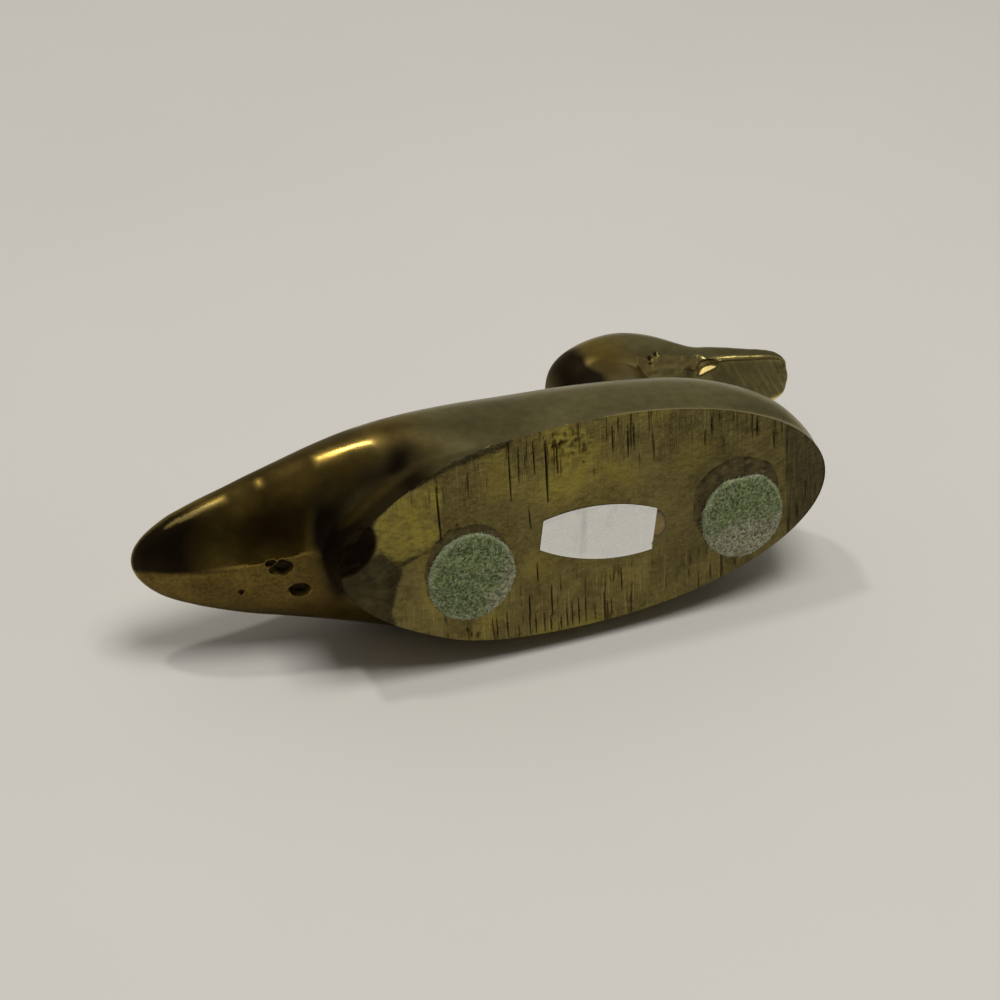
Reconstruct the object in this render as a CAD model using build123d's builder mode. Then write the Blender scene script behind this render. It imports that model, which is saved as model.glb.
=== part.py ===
"""Brass duck that stands on two felt dots: a hollow cast body closed by a brazed-in sole plate,
a separate cast head held by a screw in the neck, and a foil label under the belly.

X runs from the tail to the bill, Z is up, and the origin lies under the middle of the duck's length.
"""

import os
from math import atan, cos, radians, sin, sqrt, tan

from build123d import *

# Body and tail, in millimetres. Heights are taken from the sole.
body_length = 148.7
body_width = 49.0
back_height = 37.8
tail_tip_height = 27.0
breast_height = 12.5

# Ground sole, under a body that overhangs it at the tail, at the breast and along both flanks.
heel_from_tail = 35.9
toe_behind_breast = 2.8
flank_overhang = 1.4
heel_shoulder_inset = 4.34
heel_round_length = 22.0
sole_widest_from_toe = 55.5
foot_height = 15.0
heel_fillet = 2.0

# Head and bill. The head's axis is placed over the back and over the neck.
head_length = 54.6
head_width = 23.0
head_over_back = 28.2
head_behind_neck = 10.5
crown_rise = 12.6
throat_drop = 12.2
bill_length = 22.0
bill_width = 13.4
bill_tip_drop = 14.0
bill_tip_thickness = 3.6
bill_flat_length = 25.0
bill_flat_slope = 12.0
bill_flat_depth = 1.4
eye_diameter = 3.4
eye_depth = 0.7
eye_from_back = 22.2
eye_rise = 3.5

# Neck, with the flat joint where the head casting stands on the body casting.
neck_behind_breast = 27.5
joint_over_back = 5.7
neck_length = 22.0
neck_width = 19.2
neck_root_fillet = 6.0
throat_fillet = 6.0

# Walls of the hollow body, the sole plate that closes it and the brazed seam round the plate.
wall = 4.0
rim = 3.4
plate_thickness = 3.0
ledge_width = 2.4
ledge_thickness = 3.0
seam_width = 0.5

# Neck screw, its washer, and the spigot that centres the head.
screw_diameter = 6.0
screw_head_diameter = 10.0
screw_head_height = 5.0
screw_slot_width = 1.4
screw_slot_depth = 2.0
screw_reach = 14.0
screw_hole_clearance = 0.2
thread_clearance = 0.05
tap_end_clearance = 2.0
washer_diameter = 14.0
washer_thickness = 1.6
washer_clearance = 0.5
roof_thickness = 7.0
spigot_diameter = 12.0
spigot_length = 4.0
spigot_clearance = 0.1

# Felt dots and the glue that holds them.
pad_diameter = 19.0
pad_thickness = 1.2
pad_glue_thickness = 0.15
pad_glue_drift = 2.4
pad_glue_drift_angle = 225.0
pad_offset = 5.7
rear_pad_from_heel = 27.5
front_pad_from_toe = 20.4

# Foil label and its glue, of which a spot shows past the label's torn end.
label_length = 26.0
label_width = 12.0
label_whole_end = 6.4
label_torn_end = 9.2
label_thickness = 0.10
label_glue_thickness = 0.05
label_glue_margin = 0.6
label_ahead_of_middle = 1.3
label_offset = 2.3
label_turn = 9.2
glue_spot_diameter = 5.6

# Places and levels that follow from the sizes above.
bill_ahead_of_breast = head_length - head_behind_neck - neck_behind_breast
overall_length = body_length + bill_ahead_of_breast
tail_x = -overall_length / 2
bill_x = overall_length / 2
breast_x = tail_x + body_length
heel_x = tail_x + heel_from_tail
toe_x = breast_x - toe_behind_breast
sole_middle_x = (heel_x + toe_x) / 2
neck_x = breast_x - neck_behind_breast
head_back_x = neck_x - head_behind_neck
bill_root_x = bill_x - bill_length
label_x = sole_middle_x + label_ahead_of_middle
sole_z = pad_thickness + pad_glue_thickness
plate_top_z = sole_z + plate_thickness
ledge_top_z = plate_top_z + ledge_thickness
back_z = sole_z + back_height
joint_z = back_z + joint_over_back
socket_z = joint_z - spigot_length
roof_z = socket_z - roof_thickness
head_axis_z = back_z + head_over_back
bill_tip_z = head_axis_z - bill_tip_drop
neck_height = head_axis_z - joint_z
sole_plane = Plane.XY.offset(sole_z)
joint_plane = Plane.XY.offset(joint_z)

# Body sections from tail to breast: distance along the body, half width, then the heights of
# the widest level, the top and the bottom, each as a share of the body's own size.
body_sections = [
    (0.016, 0.205, 0.698, 0.778, 0.616),
    (0.043, 0.340, 0.678, 0.804, 0.553),
    (0.097, 0.478, 0.642, 0.828, 0.455),
    (0.178, 0.637, 0.608, 0.876, 0.397),
    (0.245, 0.751, 0.588, 0.930, 0.323),
    (0.312, 0.861, 0.546, 0.968, 0.240),
    (0.379, 0.945, 0.468, 0.988, 0.020),
    (0.447, 0.990, 0.384, 1.000, -0.35),
    (0.514, 1.000, 0.331, 1.000, -0.42),
    (0.581, 0.996, 0.299, 0.988, -0.47),
    (0.648, 0.981, 0.291, 0.966, -0.50),
    (0.722, 0.943, 0.291, 0.940, -0.47),
    (0.786, 0.892, 0.291, 0.915, -0.38),
    (0.850, 0.800, 0.291, 0.868, -0.28),
    (0.917, 0.628, 0.296, 0.780, -0.17),
    (0.958, 0.445, 0.304, 0.655, -0.06),
    (0.985, 0.255, 0.318, 0.520, 0.09),
]

# Head sections from its back to the bill's root: distance along, half width, drop of the widest
# level towards the bill, then rise to the crown and drop to the throat, as shares.
head_sections = [
    (0.10, 0.64, 0.00, 0.63, 0.65),
    (0.25, 0.88, 0.00, 0.87, 0.87),
    (0.45, 1.00, 0.00, 1.00, 0.98),
    (0.65, 0.99, 0.00, 1.00, 0.99),
    (0.83, 0.88, 0.10, 0.87, 0.88),
]

# Bill sections from its root to its tip: distance along, half width, height of the widest level
# between tip and head axis, then thickness above and below that level, as shares.
bill_sections = [
    (0.00, 1.23, 0.690, 2.17, 2.19),
    (0.19, 1.06, 0.520, 1.58, 1.69),
    (0.41, 0.98, 0.357, 1.19, 1.28),
    (0.69, 1.00, 0.171, 0.86, 0.94),
    (0.89, 0.95, 0.050, 0.61, 0.69),
]

# Neck sections, upwards: level as a share of the way from the joint to the head's axis, length
# and width over those at the joint, and forward lean over the neck's length.
neck_sections = [
    (-0.80, 1.40, 1.42, -0.07),
    (-0.50, 1.30, 1.28, -0.05),
    (-0.24, 1.11, 1.10, -0.02),
    (0.00, 1.00, 1.00, 0.00),
    (0.36, 0.95, 0.95, 0.04),
    (0.72, 0.97, 0.97, 0.11),
    (1.00, 0.90, 0.90, 0.18),
]

# Steps of the way from a tip to its first full section where the rounding is drawn.
nose_shares = (0.01, 0.06, 0.2, 0.5)


def egg_section(x, half_width, widest_z, rise, drop):
    """Upright section across the duck: two half ellipses that meet at the widest level."""
    with BuildSketch(Plane.YZ.offset(x)) as section:
        with BuildLine():
            EllipticalCenterArc((0, widest_z), half_width, rise, start_angle=0, arc_size=180)
            EllipticalCenterArc((0, widest_z), half_width, drop, start_angle=180, arc_size=180)
        make_face()
    return section.sketch


def body_rows(inset):
    """Sections of the body and tail, drawn in by the inset where there is room for it."""
    rows = []
    for along, wide, widest, top, bottom in body_sections:
        half_width = wide * body_width / 2 - inset
        rise = (top - widest) * back_height - inset
        drop = (widest - bottom) * back_height - inset
        if min(half_width, rise, drop) > inset:
            x = tail_x + along * body_length
            rows.append((x, half_width, sole_z + widest * back_height, rise, drop))
    return rows


def head_rows():
    """Sections of the head, then of the bill, from the back forwards."""
    rows = []
    axis_rise = head_axis_z - bill_tip_z
    for along, wide, dip, crown, throat in head_sections:
        x = head_back_x + along * (head_length - bill_length)
        widest_z = head_axis_z - dip * axis_rise
        rows.append((x, wide * head_width / 2, widest_z, crown * crown_rise, throat * throat_drop))
    for along, wide, lift, above, below in bill_sections:
        x = bill_root_x + along * bill_length
        widest_z = bill_tip_z + lift * axis_rise
        rise = above * bill_tip_thickness
        rows.append((x, wide * bill_width / 2, widest_z, rise, below * bill_tip_thickness))
    return rows


def nose_rows(tip_x, tip_z, row):
    """Sections that round an end off, from its tip to the first full section."""
    x, half_width, widest_z, rise, drop = row
    rows = []
    for share in nose_shares:
        swell = sqrt(share)
        nose_x = tip_x + share * (x - tip_x)
        nose_z = tip_z + share * (widest_z - tip_z)
        rows.append((nose_x, swell * half_width, nose_z, swell * rise, swell * drop))
    return rows


def rounded_form(start_x, start_z, rows, end_x, end_z):
    """What a loft runs through: a tip, the rounded end, the full sections, and the same again."""
    start_nose = nose_rows(start_x, start_z, rows[0])
    end_nose = nose_rows(end_x, end_z, rows[-1])
    sections = [egg_section(*row) for row in (*start_nose, *rows, *reversed(end_nose))]
    return [Vertex(start_x, 0, start_z), *sections, Vertex(end_x, 0, end_z)]


def sole_shape(inset):
    """The sole's face, drawn in by the inset: a round heel, full sides and an elliptic toe."""
    full_half = body_width / 2 - flank_overhang
    shoulder_half = full_half - heel_shoulder_inset
    half = full_half - inset
    heel = heel_x + inset
    slope = shoulder_half / (2 * heel_round_length)
    lean = atan(slope)
    shoulder = (heel_x + heel_round_length + inset * sin(lean), shoulder_half - inset * cos(lean))
    heel_control = (heel, shoulder[1] - slope * (shoulder[0] - heel))
    side_control = (shoulder[0] + (half - shoulder[1]) / slope, half)
    widest = (toe_x - sole_widest_from_toe, half)
    front = toe_x - inset - widest[0]
    with BuildSketch(sole_plane) as shape:
        with BuildLine():
            Bezier((heel, 0), heel_control, shoulder)
            Bezier(shoulder, side_control, widest)
            EllipticalCenterArc((widest[0], 0), front, half, start_angle=90, arc_size=-90)
            mirror(about=Plane.XZ)
        make_face()
    return shape.sketch


def label_shape(level, margin):
    """Barrel outline of the label on its level, drawn in by the margin at its four sides."""
    end = label_length / 2 - margin
    middle = label_width / 2 - margin
    whole_half = label_whole_end / 2 - margin
    torn_half = label_torn_end / 2 - margin
    place = Plane((label_x, label_offset, level))
    with BuildSketch(place.rotated((0, 0, label_turn))) as shape:
        with BuildLine():
            ThreePointArc((-end, whole_half), (0, middle), (end, torn_half))
            Line((end, torn_half), (end, -torn_half))
            ThreePointArc((end, -torn_half), (0, -middle), (-end, -whole_half))
            Line((-end, -whole_half), (-end, whole_half))
        make_face()
    return shape.sketch


tail_tip_z = sole_z + tail_tip_height
breast_z = sole_z + breast_height
body_skin = rounded_form(tail_x, tail_tip_z, body_rows(0), breast_x, breast_z)
cavity_skin = [egg_section(*row) for row in body_rows(wall)]
head_skin = rounded_form(head_back_x, head_axis_z, head_rows(), bill_x, bill_tip_z)
sole_face = sole_shape(0)
pocket_face = sole_shape(rim)
plate_face = sole_shape(rim + seam_width)
opening_face = sole_shape(rim + ledge_width)

# The neck, whole, before the joint plane divides it between body and head.
with BuildPart() as neck_form:
    for level, longer, wider, lean in neck_sections:
        with BuildSketch(joint_plane.offset(level * neck_height)):
            with Locations((neck_x + lean * neck_length, 0)):
                Ellipse(longer * neck_length / 2, wider * neck_width / 2)
    loft()

# The hollow of the body, above the ledge that carries the sole plate.
with BuildPart() as cavity_form:
    loft(cavity_skin, ruled=True)
    split(bisect_by=Plane.XY.offset(ledge_top_z), keep=Keep.TOP)

# Body casting: the long egg of body and tail on its foot, with the stump of the neck.
with BuildPart() as body_casting:
    loft(body_skin)
    split(bisect_by=sole_plane, keep=Keep.TOP)
    extrude(sole_face, amount=foot_height)
    fillet(body_casting.edges(Select.NEW), radius=heel_fillet)
    add(neck_form.part.split(joint_plane, keep=Keep.BOTTOM))
    fillet(body_casting.edges(Select.NEW), radius=neck_root_fillet)
    add(cavity_form.part, mode=Mode.SUBTRACT)
    extrude(pocket_face, amount=plate_thickness, mode=Mode.SUBTRACT)
    extrude(opening_face, amount=ledge_top_z - sole_z, mode=Mode.SUBTRACT)
    with Locations((neck_x, 0, roof_z)):
        Cylinder(
            washer_diameter / 2 + washer_clearance,
            roof_z - ledge_top_z,
            align=(Align.CENTER, Align.CENTER, Align.MAX),
            mode=Mode.SUBTRACT,
        )
        Cylinder(
            screw_diameter / 2 + screw_hole_clearance,
            roof_thickness,
            align=(Align.CENTER, Align.CENTER, Align.MIN),
            mode=Mode.SUBTRACT,
        )
    with Locations((neck_x, 0, socket_z)):
        Cylinder(
            spigot_diameter / 2 + spigot_clearance,
            spigot_length,
            align=(Align.CENTER, Align.CENTER, Align.MIN),
            mode=Mode.SUBTRACT,
        )

# Sole plate, seated on the ledge inside the rim and ground flush with it.
with BuildPart() as sole_plate:
    extrude(plate_face, amount=plate_thickness)

# Brazing alloy that fills the seam between the plate and the rim.
with BuildPart() as sole_braze_seam:
    extrude(pocket_face, amount=plate_thickness)
    extrude(plate_face, amount=plate_thickness, mode=Mode.SUBTRACT)

# Head casting: head, flat-filed bill and the neck above the joint, with a tapped spigot.
flat_tip_z = bill_tip_z - bill_flat_depth
flat_fall = tan(radians(bill_flat_slope))
bill_flat_overrun = bill_tip_thickness
eye_ball = (eye_diameter**2 / 4 + eye_depth**2) / (2 * eye_depth)
eye_side = head_width / 2 * sqrt(1 - (eye_rise / crown_rise) ** 2)
eye_y = eye_side + eye_ball - eye_depth
with BuildPart() as head_casting:
    loft(head_skin)
    add(neck_form.part.split(joint_plane, keep=Keep.TOP))
    fillet(head_casting.edges(Select.NEW), radius=throat_fillet)
    with BuildSketch(Plane.XZ):
        with BuildLine():
            Polyline(
                (bill_x + bill_flat_overrun, flat_tip_z - bill_flat_overrun * flat_fall),
                (bill_x - bill_flat_length, flat_tip_z + bill_flat_length * flat_fall),
                (bill_x - bill_flat_length, flat_tip_z - throat_drop),
                (bill_x + bill_flat_overrun, flat_tip_z - throat_drop),
                close=True,
            )
        make_face()
    extrude(amount=head_width, both=True, mode=Mode.SUBTRACT)
    with Locations(
        (head_back_x + eye_from_back, eye_y, head_axis_z + eye_rise),
        (head_back_x + eye_from_back, -eye_y, head_axis_z + eye_rise),
    ):
        Sphere(eye_ball, mode=Mode.SUBTRACT)
    with Locations((neck_x, 0, joint_z)):
        Cylinder(
            spigot_diameter / 2,
            spigot_length - spigot_clearance,
            align=(Align.CENTER, Align.CENTER, Align.MAX),
        )
    with Locations((neck_x, 0, socket_z)):
        Cylinder(
            screw_diameter / 2 + thread_clearance,
            screw_reach + tap_end_clearance,
            align=(Align.CENTER, Align.CENTER, Align.MIN),
            mode=Mode.SUBTRACT,
        )

# Washer against the spot face under the roof, and the slotted screw that passes up through it.
washer_z = roof_z - washer_thickness
with BuildPart() as neck_washer:
    with Locations((neck_x, 0, washer_z)):
        Cylinder(
            washer_diameter / 2, washer_thickness, align=(Align.CENTER, Align.CENTER, Align.MIN)
        )
        Cylinder(
            screw_diameter / 2 + screw_hole_clearance,
            washer_thickness,
            align=(Align.CENTER, Align.CENTER, Align.MIN),
            mode=Mode.SUBTRACT,
        )

with BuildPart() as neck_screw:
    with Locations((neck_x, 0, washer_z)):
        Cylinder(
            screw_head_diameter / 2,
            screw_head_height,
            align=(Align.CENTER, Align.CENTER, Align.MAX),
        )
        Cylinder(
            screw_diameter / 2,
            socket_z + screw_reach - washer_z,
            align=(Align.CENTER, Align.CENTER, Align.MIN),
        )
    with Locations((neck_x, 0, washer_z - screw_head_height)):
        Box(
            screw_head_diameter,
            screw_slot_width,
            screw_slot_depth,
            align=(Align.CENTER, Align.CENTER, Align.MIN),
            mode=Mode.SUBTRACT,
        )

# Felt dots, and the glue film under each that has crept out to one side.
drift_x = pad_glue_drift * cos(radians(pad_glue_drift_angle))
drift_y = pad_glue_drift * sin(radians(pad_glue_drift_angle))
pad_places = {"rear": heel_x + rear_pad_from_heel, "front": toe_x - front_pad_from_toe}
pads = {}
pad_glues = {}
for place, pad_x in pad_places.items():
    with BuildPart() as pad:
        with BuildSketch(Plane.XY):
            with Locations((pad_x, pad_offset)):
                Circle(pad_diameter / 2)
        extrude(amount=pad_thickness)
    pads[place] = pad
    with BuildPart() as pad_glue:
        with BuildSketch(Plane.XY.offset(pad_thickness)):
            with Locations((pad_x, pad_offset), (pad_x + drift_x, pad_offset + drift_y)):
                Circle(pad_diameter / 2)
        extrude(amount=pad_glue_thickness)
    pad_glues[place] = pad_glue

# Foil label and the glue between it and the sole.
label_glue_z = sole_z - label_glue_thickness
label_z = label_glue_z - label_thickness
with BuildPart() as foil_label:
    extrude(label_shape(label_z, 0), amount=label_thickness)

spot_x = label_x + label_length / 2 * cos(radians(label_turn))
spot_y = label_offset + label_length / 2 * sin(radians(label_turn))
with BuildPart() as label_glue:
    extrude(label_shape(label_glue_z, label_glue_margin), amount=label_glue_thickness)
    with BuildSketch(Plane.XY.offset(label_glue_z)):
        with Locations((spot_x, spot_y)):
            Circle(glue_spot_diameter / 2)
    extrude(amount=label_glue_thickness)

pieces = {
    "body_casting": body_casting,
    "head_casting": head_casting,
    "sole_plate": sole_plate,
    "sole_braze_seam": sole_braze_seam,
    "neck_screw": neck_screw,
    "neck_washer": neck_washer,
    "felt_pad_rear": pads["rear"],
    "felt_pad_front": pads["front"],
    "pad_glue_rear": pad_glues["rear"],
    "pad_glue_front": pad_glues["front"],
    "foil_label": foil_label,
    "label_glue": label_glue,
}
os.makedirs("parts", exist_ok=True)
for name, piece in pieces.items():
    piece.part.label = name
    export_step(piece.part, f"parts/{name}.step")
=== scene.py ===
"""Looks of the brass duck: tarnished castings, a ground sole, felt dots, old glue and a bare foil label.

Everything is in metres in the part's own frame. Sizes given in millimetres are turned into metres by MM.
"""

import math
from contextlib import contextmanager
from random import Random

import bmesh
import bpy
import numpy as np
from mathutils import Matrix, Vector, geometry, kdtree, noise


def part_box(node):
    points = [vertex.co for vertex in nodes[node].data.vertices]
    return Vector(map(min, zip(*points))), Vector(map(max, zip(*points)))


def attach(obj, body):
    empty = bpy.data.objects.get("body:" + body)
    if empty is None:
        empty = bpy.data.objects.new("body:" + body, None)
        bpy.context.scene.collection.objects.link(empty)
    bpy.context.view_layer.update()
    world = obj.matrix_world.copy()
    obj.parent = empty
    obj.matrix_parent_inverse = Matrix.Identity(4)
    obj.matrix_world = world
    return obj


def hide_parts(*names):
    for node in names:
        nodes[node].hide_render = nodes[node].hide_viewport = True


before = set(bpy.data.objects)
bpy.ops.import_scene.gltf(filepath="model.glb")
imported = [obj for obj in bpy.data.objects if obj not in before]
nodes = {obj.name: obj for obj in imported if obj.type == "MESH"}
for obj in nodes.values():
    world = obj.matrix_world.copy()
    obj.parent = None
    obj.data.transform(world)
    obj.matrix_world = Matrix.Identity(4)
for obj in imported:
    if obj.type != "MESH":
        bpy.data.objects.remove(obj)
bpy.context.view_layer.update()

MM = 0.001

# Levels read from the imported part.
SOLE_Z, JOINT_Z = (corner.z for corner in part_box("body_casting"))
PLATE_TOP_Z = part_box("sole_plate")[1].z
PAD_TOP_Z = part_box("felt_pad_rear")[1].z
FOIL_LOW_Z, FOIL_HIGH_Z = (corner.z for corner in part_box("foil_label"))

# Fineness of the meshes.
BODY_VOXEL = 0.6 * MM
HEAD_VOXEL = 0.28 * MM
SOLE_GRID = 0.45 * MM
TOP_GRID = 50 * MM
SEAM_STEP = 0.4 * MM
FOIL_GRID = 0.35 * MM
WELD_GAP = 0.002 * MM

# Share of the way to its neighbours that a place moves when a skin is evened, and then moves back.
EVEN_FORTH = 0.6
EVEN_BACK = -1.03 * EVEN_FORTH


# Helpers for meshes


def rows_of(items, what, width, kind=float):
    """One property of all items, as the rows of an array."""
    values = np.zeros(len(items) * width, kind)
    items.foreach_get(what, values)
    return values.reshape(-1, width)


def arrays_of(mesh):
    """Vertex places and triangles of a mesh as arrays."""
    mesh.calc_loop_triangles()
    return rows_of(mesh.vertices, "co", 3), rows_of(mesh.loop_triangles, "vertices", 3, int)


def set_places(mesh, places):
    """Moves a mesh's vertices to these places."""
    mesh.vertices.foreach_set("co", places.ravel())
    mesh.update()


@contextmanager
def reshaping(mesh, *sources):
    """Faces of the sources, or of the mesh itself, to work on before they go into the mesh."""
    work = bmesh.new()
    for source in sources or (mesh,):
        work.from_mesh(source)
    yield work
    work.to_mesh(mesh)
    work.free()


def turn_outwards(work):
    """Turns all faces outwards."""
    bmesh.ops.recalc_face_normals(work, faces=work.faces)


def merged_node(name):
    """A copy of a node's mesh with its loose triangles welded."""
    mesh = nodes[name].data.copy()
    with reshaping(mesh) as work:
        bmesh.ops.remove_doubles(work, verts=work.verts, dist=WELD_GAP)
    return mesh


def mesh_from(places, faces):
    """A mesh of these vertices and faces, with its faces turned outwards."""
    mesh = bpy.data.meshes.new("draft")
    mesh.from_pydata([tuple(p) for p in places], [], [tuple(int(i) for i in f) for f in faces])
    with reshaping(mesh) as work:
        turn_outwards(work)
    return mesh


def wall(low, high):
    """Faces between two closed rows of vertices."""
    return [(low[i - 1], low[i], high[i], high[i - 1]) for i in range(len(low))]


def placed(name, data):
    """A new object in the scene that holds a mesh, a lamp or a camera."""
    thing = bpy.data.objects.new(name, data)
    bpy.context.scene.collection.objects.link(thing)
    return thing


def new_piece(name, mesh, *materials):
    """A new object at the origin that holds the mesh and its materials."""
    mesh.name = name
    for material in materials:
        mesh.materials.append(material)
    return placed(name, mesh)


def smooth_shaded(mesh, angle):
    """The mesh with smooth shading, and edges over an angle in degrees kept sharp."""
    mesh.polygons.foreach_set("use_smooth", [True] * len(mesh.polygons))
    mesh.set_sharp_from_angle(angle=math.radians(angle))
    mesh.update()
    return mesh


def set_attributes(mesh, **marks):
    """Numbers for each vertex, under names that a material reads."""
    for name, values in marks.items():
        layer = mesh.attributes.new(name, "FLOAT", "POINT")
        layer.data.foreach_set("value", np.asarray(values, np.float32))


def attribute_of(mesh, name):
    """Numbers for each vertex that were set under a name."""
    return rows_of(mesh.attributes[name].data, "value", 1, np.float32)[:, 0]


def evaluated_mesh(thing):
    """The mesh that an object's modifiers make; the object itself goes."""
    graph = bpy.context.evaluated_depsgraph_get()
    mesh = bpy.data.meshes.new_from_object(thing.evaluated_get(graph))
    bpy.data.objects.remove(thing)
    return mesh


def lengths(rows):
    """Length of each row."""
    return np.linalg.norm(rows, axis=1)


def step(value, low, high):
    """Smooth step from 0 at low to 1 at high."""
    share = np.clip((value - low) / (high - low), 0, 1)
    return share * share * (3 - 2 * share)


def fade(value, high, low):
    """Smooth step from 1 at high to 0 at low."""
    return 1 - step(value, high, low)


def band(value, *ends):
    """Smooth step from 0 to 1 between the first two ends, and back to 0 between the last two."""
    return step(value, *ends[:2]) * fade(value, *ends[2:])


def blob(at, centre, size):
    """1 at a centre, and less and less around it."""
    return np.exp(-(((at - centre) / size) ** 2).sum(1))


def held(values):
    """Values kept between 0 and 1."""
    return np.clip(values, 0, 1)


def noise_at(places, size, seed):
    """Smooth noise from -1 to 1 with lumps of about this size in millimetres."""
    shift = Vector((seed * 3.7, seed * 5.1, seed * 7.3))
    return np.array([noise.noise(Vector(p) / (size * MM) + shift) for p in places])


def evened(places, edges, rounds, shares=1.0):
    """Places moved towards their neighbours and back again, which evens a skin without shrinking it."""
    a, b = edges[:, 0], edges[:, 1]
    count = np.bincount(edges.ravel(), minlength=len(places)).clip(1)[:, None]
    places = places.copy()
    for turn in range(rounds):
        total = np.empty_like(places)
        for axis in range(3):
            total[:, axis] = np.bincount(a, places[b, axis], len(places))
            total[:, axis] += np.bincount(b, places[a, axis], len(places))
        places += (EVEN_BACK if turn % 2 else EVEN_FORTH) * shares * (total / count - places)
    return places


def vertex_normals(places, triangles):
    """Normals of a triangle mesh at its vertices."""
    p, q, r = (places[triangles[:, i]] for i in range(3))
    across = np.cross(q - p, r - p)
    normals = np.zeros_like(places)
    for corner in range(3):
        for axis in range(3):
            normals[:, axis] += np.bincount(triangles[:, corner], across[:, axis], len(places))
    return normals / lengths(normals).clip(1e-12)[:, None]


# Outlines and flat faces


def ordered_loop(edges):
    """The longest closed loop of vertices among unordered edges."""
    beside = {}
    for a, b in edges:
        beside.setdefault(a, []).append(b)
        beside.setdefault(b, []).append(a)
    longest = []
    while beside:
        here = next(iter(beside))
        loop = []
        while here is not None:
            loop.append(here)
            onward = [v for v in beside.pop(here) if v in beside]
            here = onward[0] if onward else None
        if len(loop) > len(longest):
            longest = loop
    return longest


def node_outline(name, level):
    """Outer outline, as x and y, of a node's flat face at a level."""
    places, triangles = arrays_of(merged_node(name))
    flat = np.abs(places[triangles][:, :, 2] - level).max(1) < 0.01 * MM
    count = {}
    for a, b, c in triangles[flat]:
        for pair in ((a, b), (b, c), (c, a)):
            key = tuple(sorted(pair))
            count[key] = count.get(key, 0) + 1
    rim = [pair for pair, times in count.items() if times == 1]
    widest = []
    while rim:
        loop = ordered_loop(rim)
        if not widest or np.ptp(places[loop][:, 0]) > np.ptp(places[widest][:, 0]):
            widest = loop
        used = set(loop)
        rim = [pair for pair in rim if pair[0] not in used]
    return places[widest][:, :2]


def resampled(loop, spacing):
    """The same closed outline with even steps."""
    closed = np.vstack([loop, loop[:1]])
    along = np.r_[0, np.cumsum(lengths(np.diff(closed, axis=0)))]
    where = np.linspace(0, along[-1], int(along[-1] / spacing), endpoint=False)
    return np.c_[np.interp(where, along, closed[:, 0]), np.interp(where, along, closed[:, 1])]


def inside(loop, points):
    """Which points lie inside a closed outline."""
    x, y = points[:, 0], points[:, 1]
    odd = np.zeros(len(points), bool)
    for (ax, ay), (bx, by) in zip(loop, np.roll(loop, -1, axis=0)):
        crosses = (ay > y) != (by > y)
        if crosses.any():
            odd[crosses] ^= x[crosses] < ax + (y[crosses] - ay) * (bx - ax) / (by - ay)
    return odd


def distance_to(loop, points):
    """Distance from each point to the nearest point of an outline."""
    tree = kdtree.KDTree(len(loop))
    for i, (x, y) in enumerate(loop):
        tree.insert((x, y, 0), i)
    tree.balance()
    return np.array([tree.find((x, y, 0))[2] for x, y in points])


def filled_face(outer, inner, spacing, lines=()):
    """Triangles between two outlines: the outlines' points, then the rest, and the faces.

    Lines are rows of points that the face also takes in, with the grid kept clear of them.
    """

    def on_ground(points):
        kept = inside(outer, points)
        return kept if inner is None else kept & ~inside(inner, points)

    xs, ys = (np.arange(low, high, spacing) for low, high in zip(outer.min(0), outer.max(0)))
    grid = np.array([(x, y + spacing * 0.5 * (i % 2)) for i, x in enumerate(xs) for y in ys])
    if len(lines):
        grid = np.vstack([grid[distance_to(lines, grid) > 0.6 * spacing], lines])
    loops = [outer] if inner is None else [outer, inner]
    keep = on_ground(grid)
    for loop in loops:
        keep[keep] &= distance_to(loop, grid[keep]) > 0.3 * spacing
    points = np.vstack(loops + [grid[keep]])
    edges = []
    for loop in loops:
        start, count = len(edges), len(loop)
        edges += [(start + i, start + (i + 1) % count) for i in range(count)]
    made = geometry.delaunay_2d_cdt([Vector(p) / MM for p in points], edges, [], 0, 1e-6)
    first = [ids[0] for ids in made[3]]
    faces = np.array([[first[i] for i in face] for face in made[2]])
    return points, faces[on_ground(points[faces].mean(1))]


# Marks on the ground sole, in millimetres

# Gouges run across the sole: start x and y, end x and y, width, depth.
GOUGES = (
    (-1.6, -20.6, -1.5, -7.1, 0.62, 0.45),
    (0.8, -20.0, 0.9, -12.9, 0.5, 0.28),
    (-9.8, -21.0, -9.6, -9.0, 0.5, 0.26),
    (-7.7, -20.6, -7.7, -12.7, 0.45, 0.2),
    (-4.4, -21.1, -4.2, -13.7, 0.5, 0.26),
    (-25.7, -15.4, -25.2, -3.4, 0.6, 0.35),
    (-5.8, -6.3, -5.6, -2.0, 0.5, 0.22),
    (-4.5, 6.3, -4.4, 10.4, 0.5, 0.22),
    (16.8, -20.4, 16.8, -13.4, 0.5, 0.24),
    (18.1, -20.6, 18.2, -14.9, 0.45, 0.2),
    (13.3, -20.9, 13.4, -14.7, 0.45, 0.22),
    (36.1, -18.4, 36.1, -14.2, 0.5, 0.24),
    (46.8, -15.6, 46.8, -12.0, 0.9, 0.3),
    (50.7, -11.8, 50.8, -8.0, 0.5, 0.2),
    (-6.5, 13.0, -6.4, 18.6, 0.5, 0.24),
    (-1.5, 12.0, -1.4, 19.0, 0.5, 0.24),
    (14.5, 11.5, 14.6, 17.0, 0.45, 0.2),
)

# Pits left where metal ran short: x, y, width, depth.
PITS = (
    (0.6, -19.9, 1.2, 0.4),
    (6.6, -14.2, 0.8, 0.3),
    (-20.5, 17.8, 1.0, 0.35),
    (-18.2, 19.6, 1.2, 0.4),
    (-19.8, 19.2, 0.9, 0.35),
    (-23.4, -5.2, 1.0, 0.3),
    (-21.6, -6.2, 0.9, 0.3),
)

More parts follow.
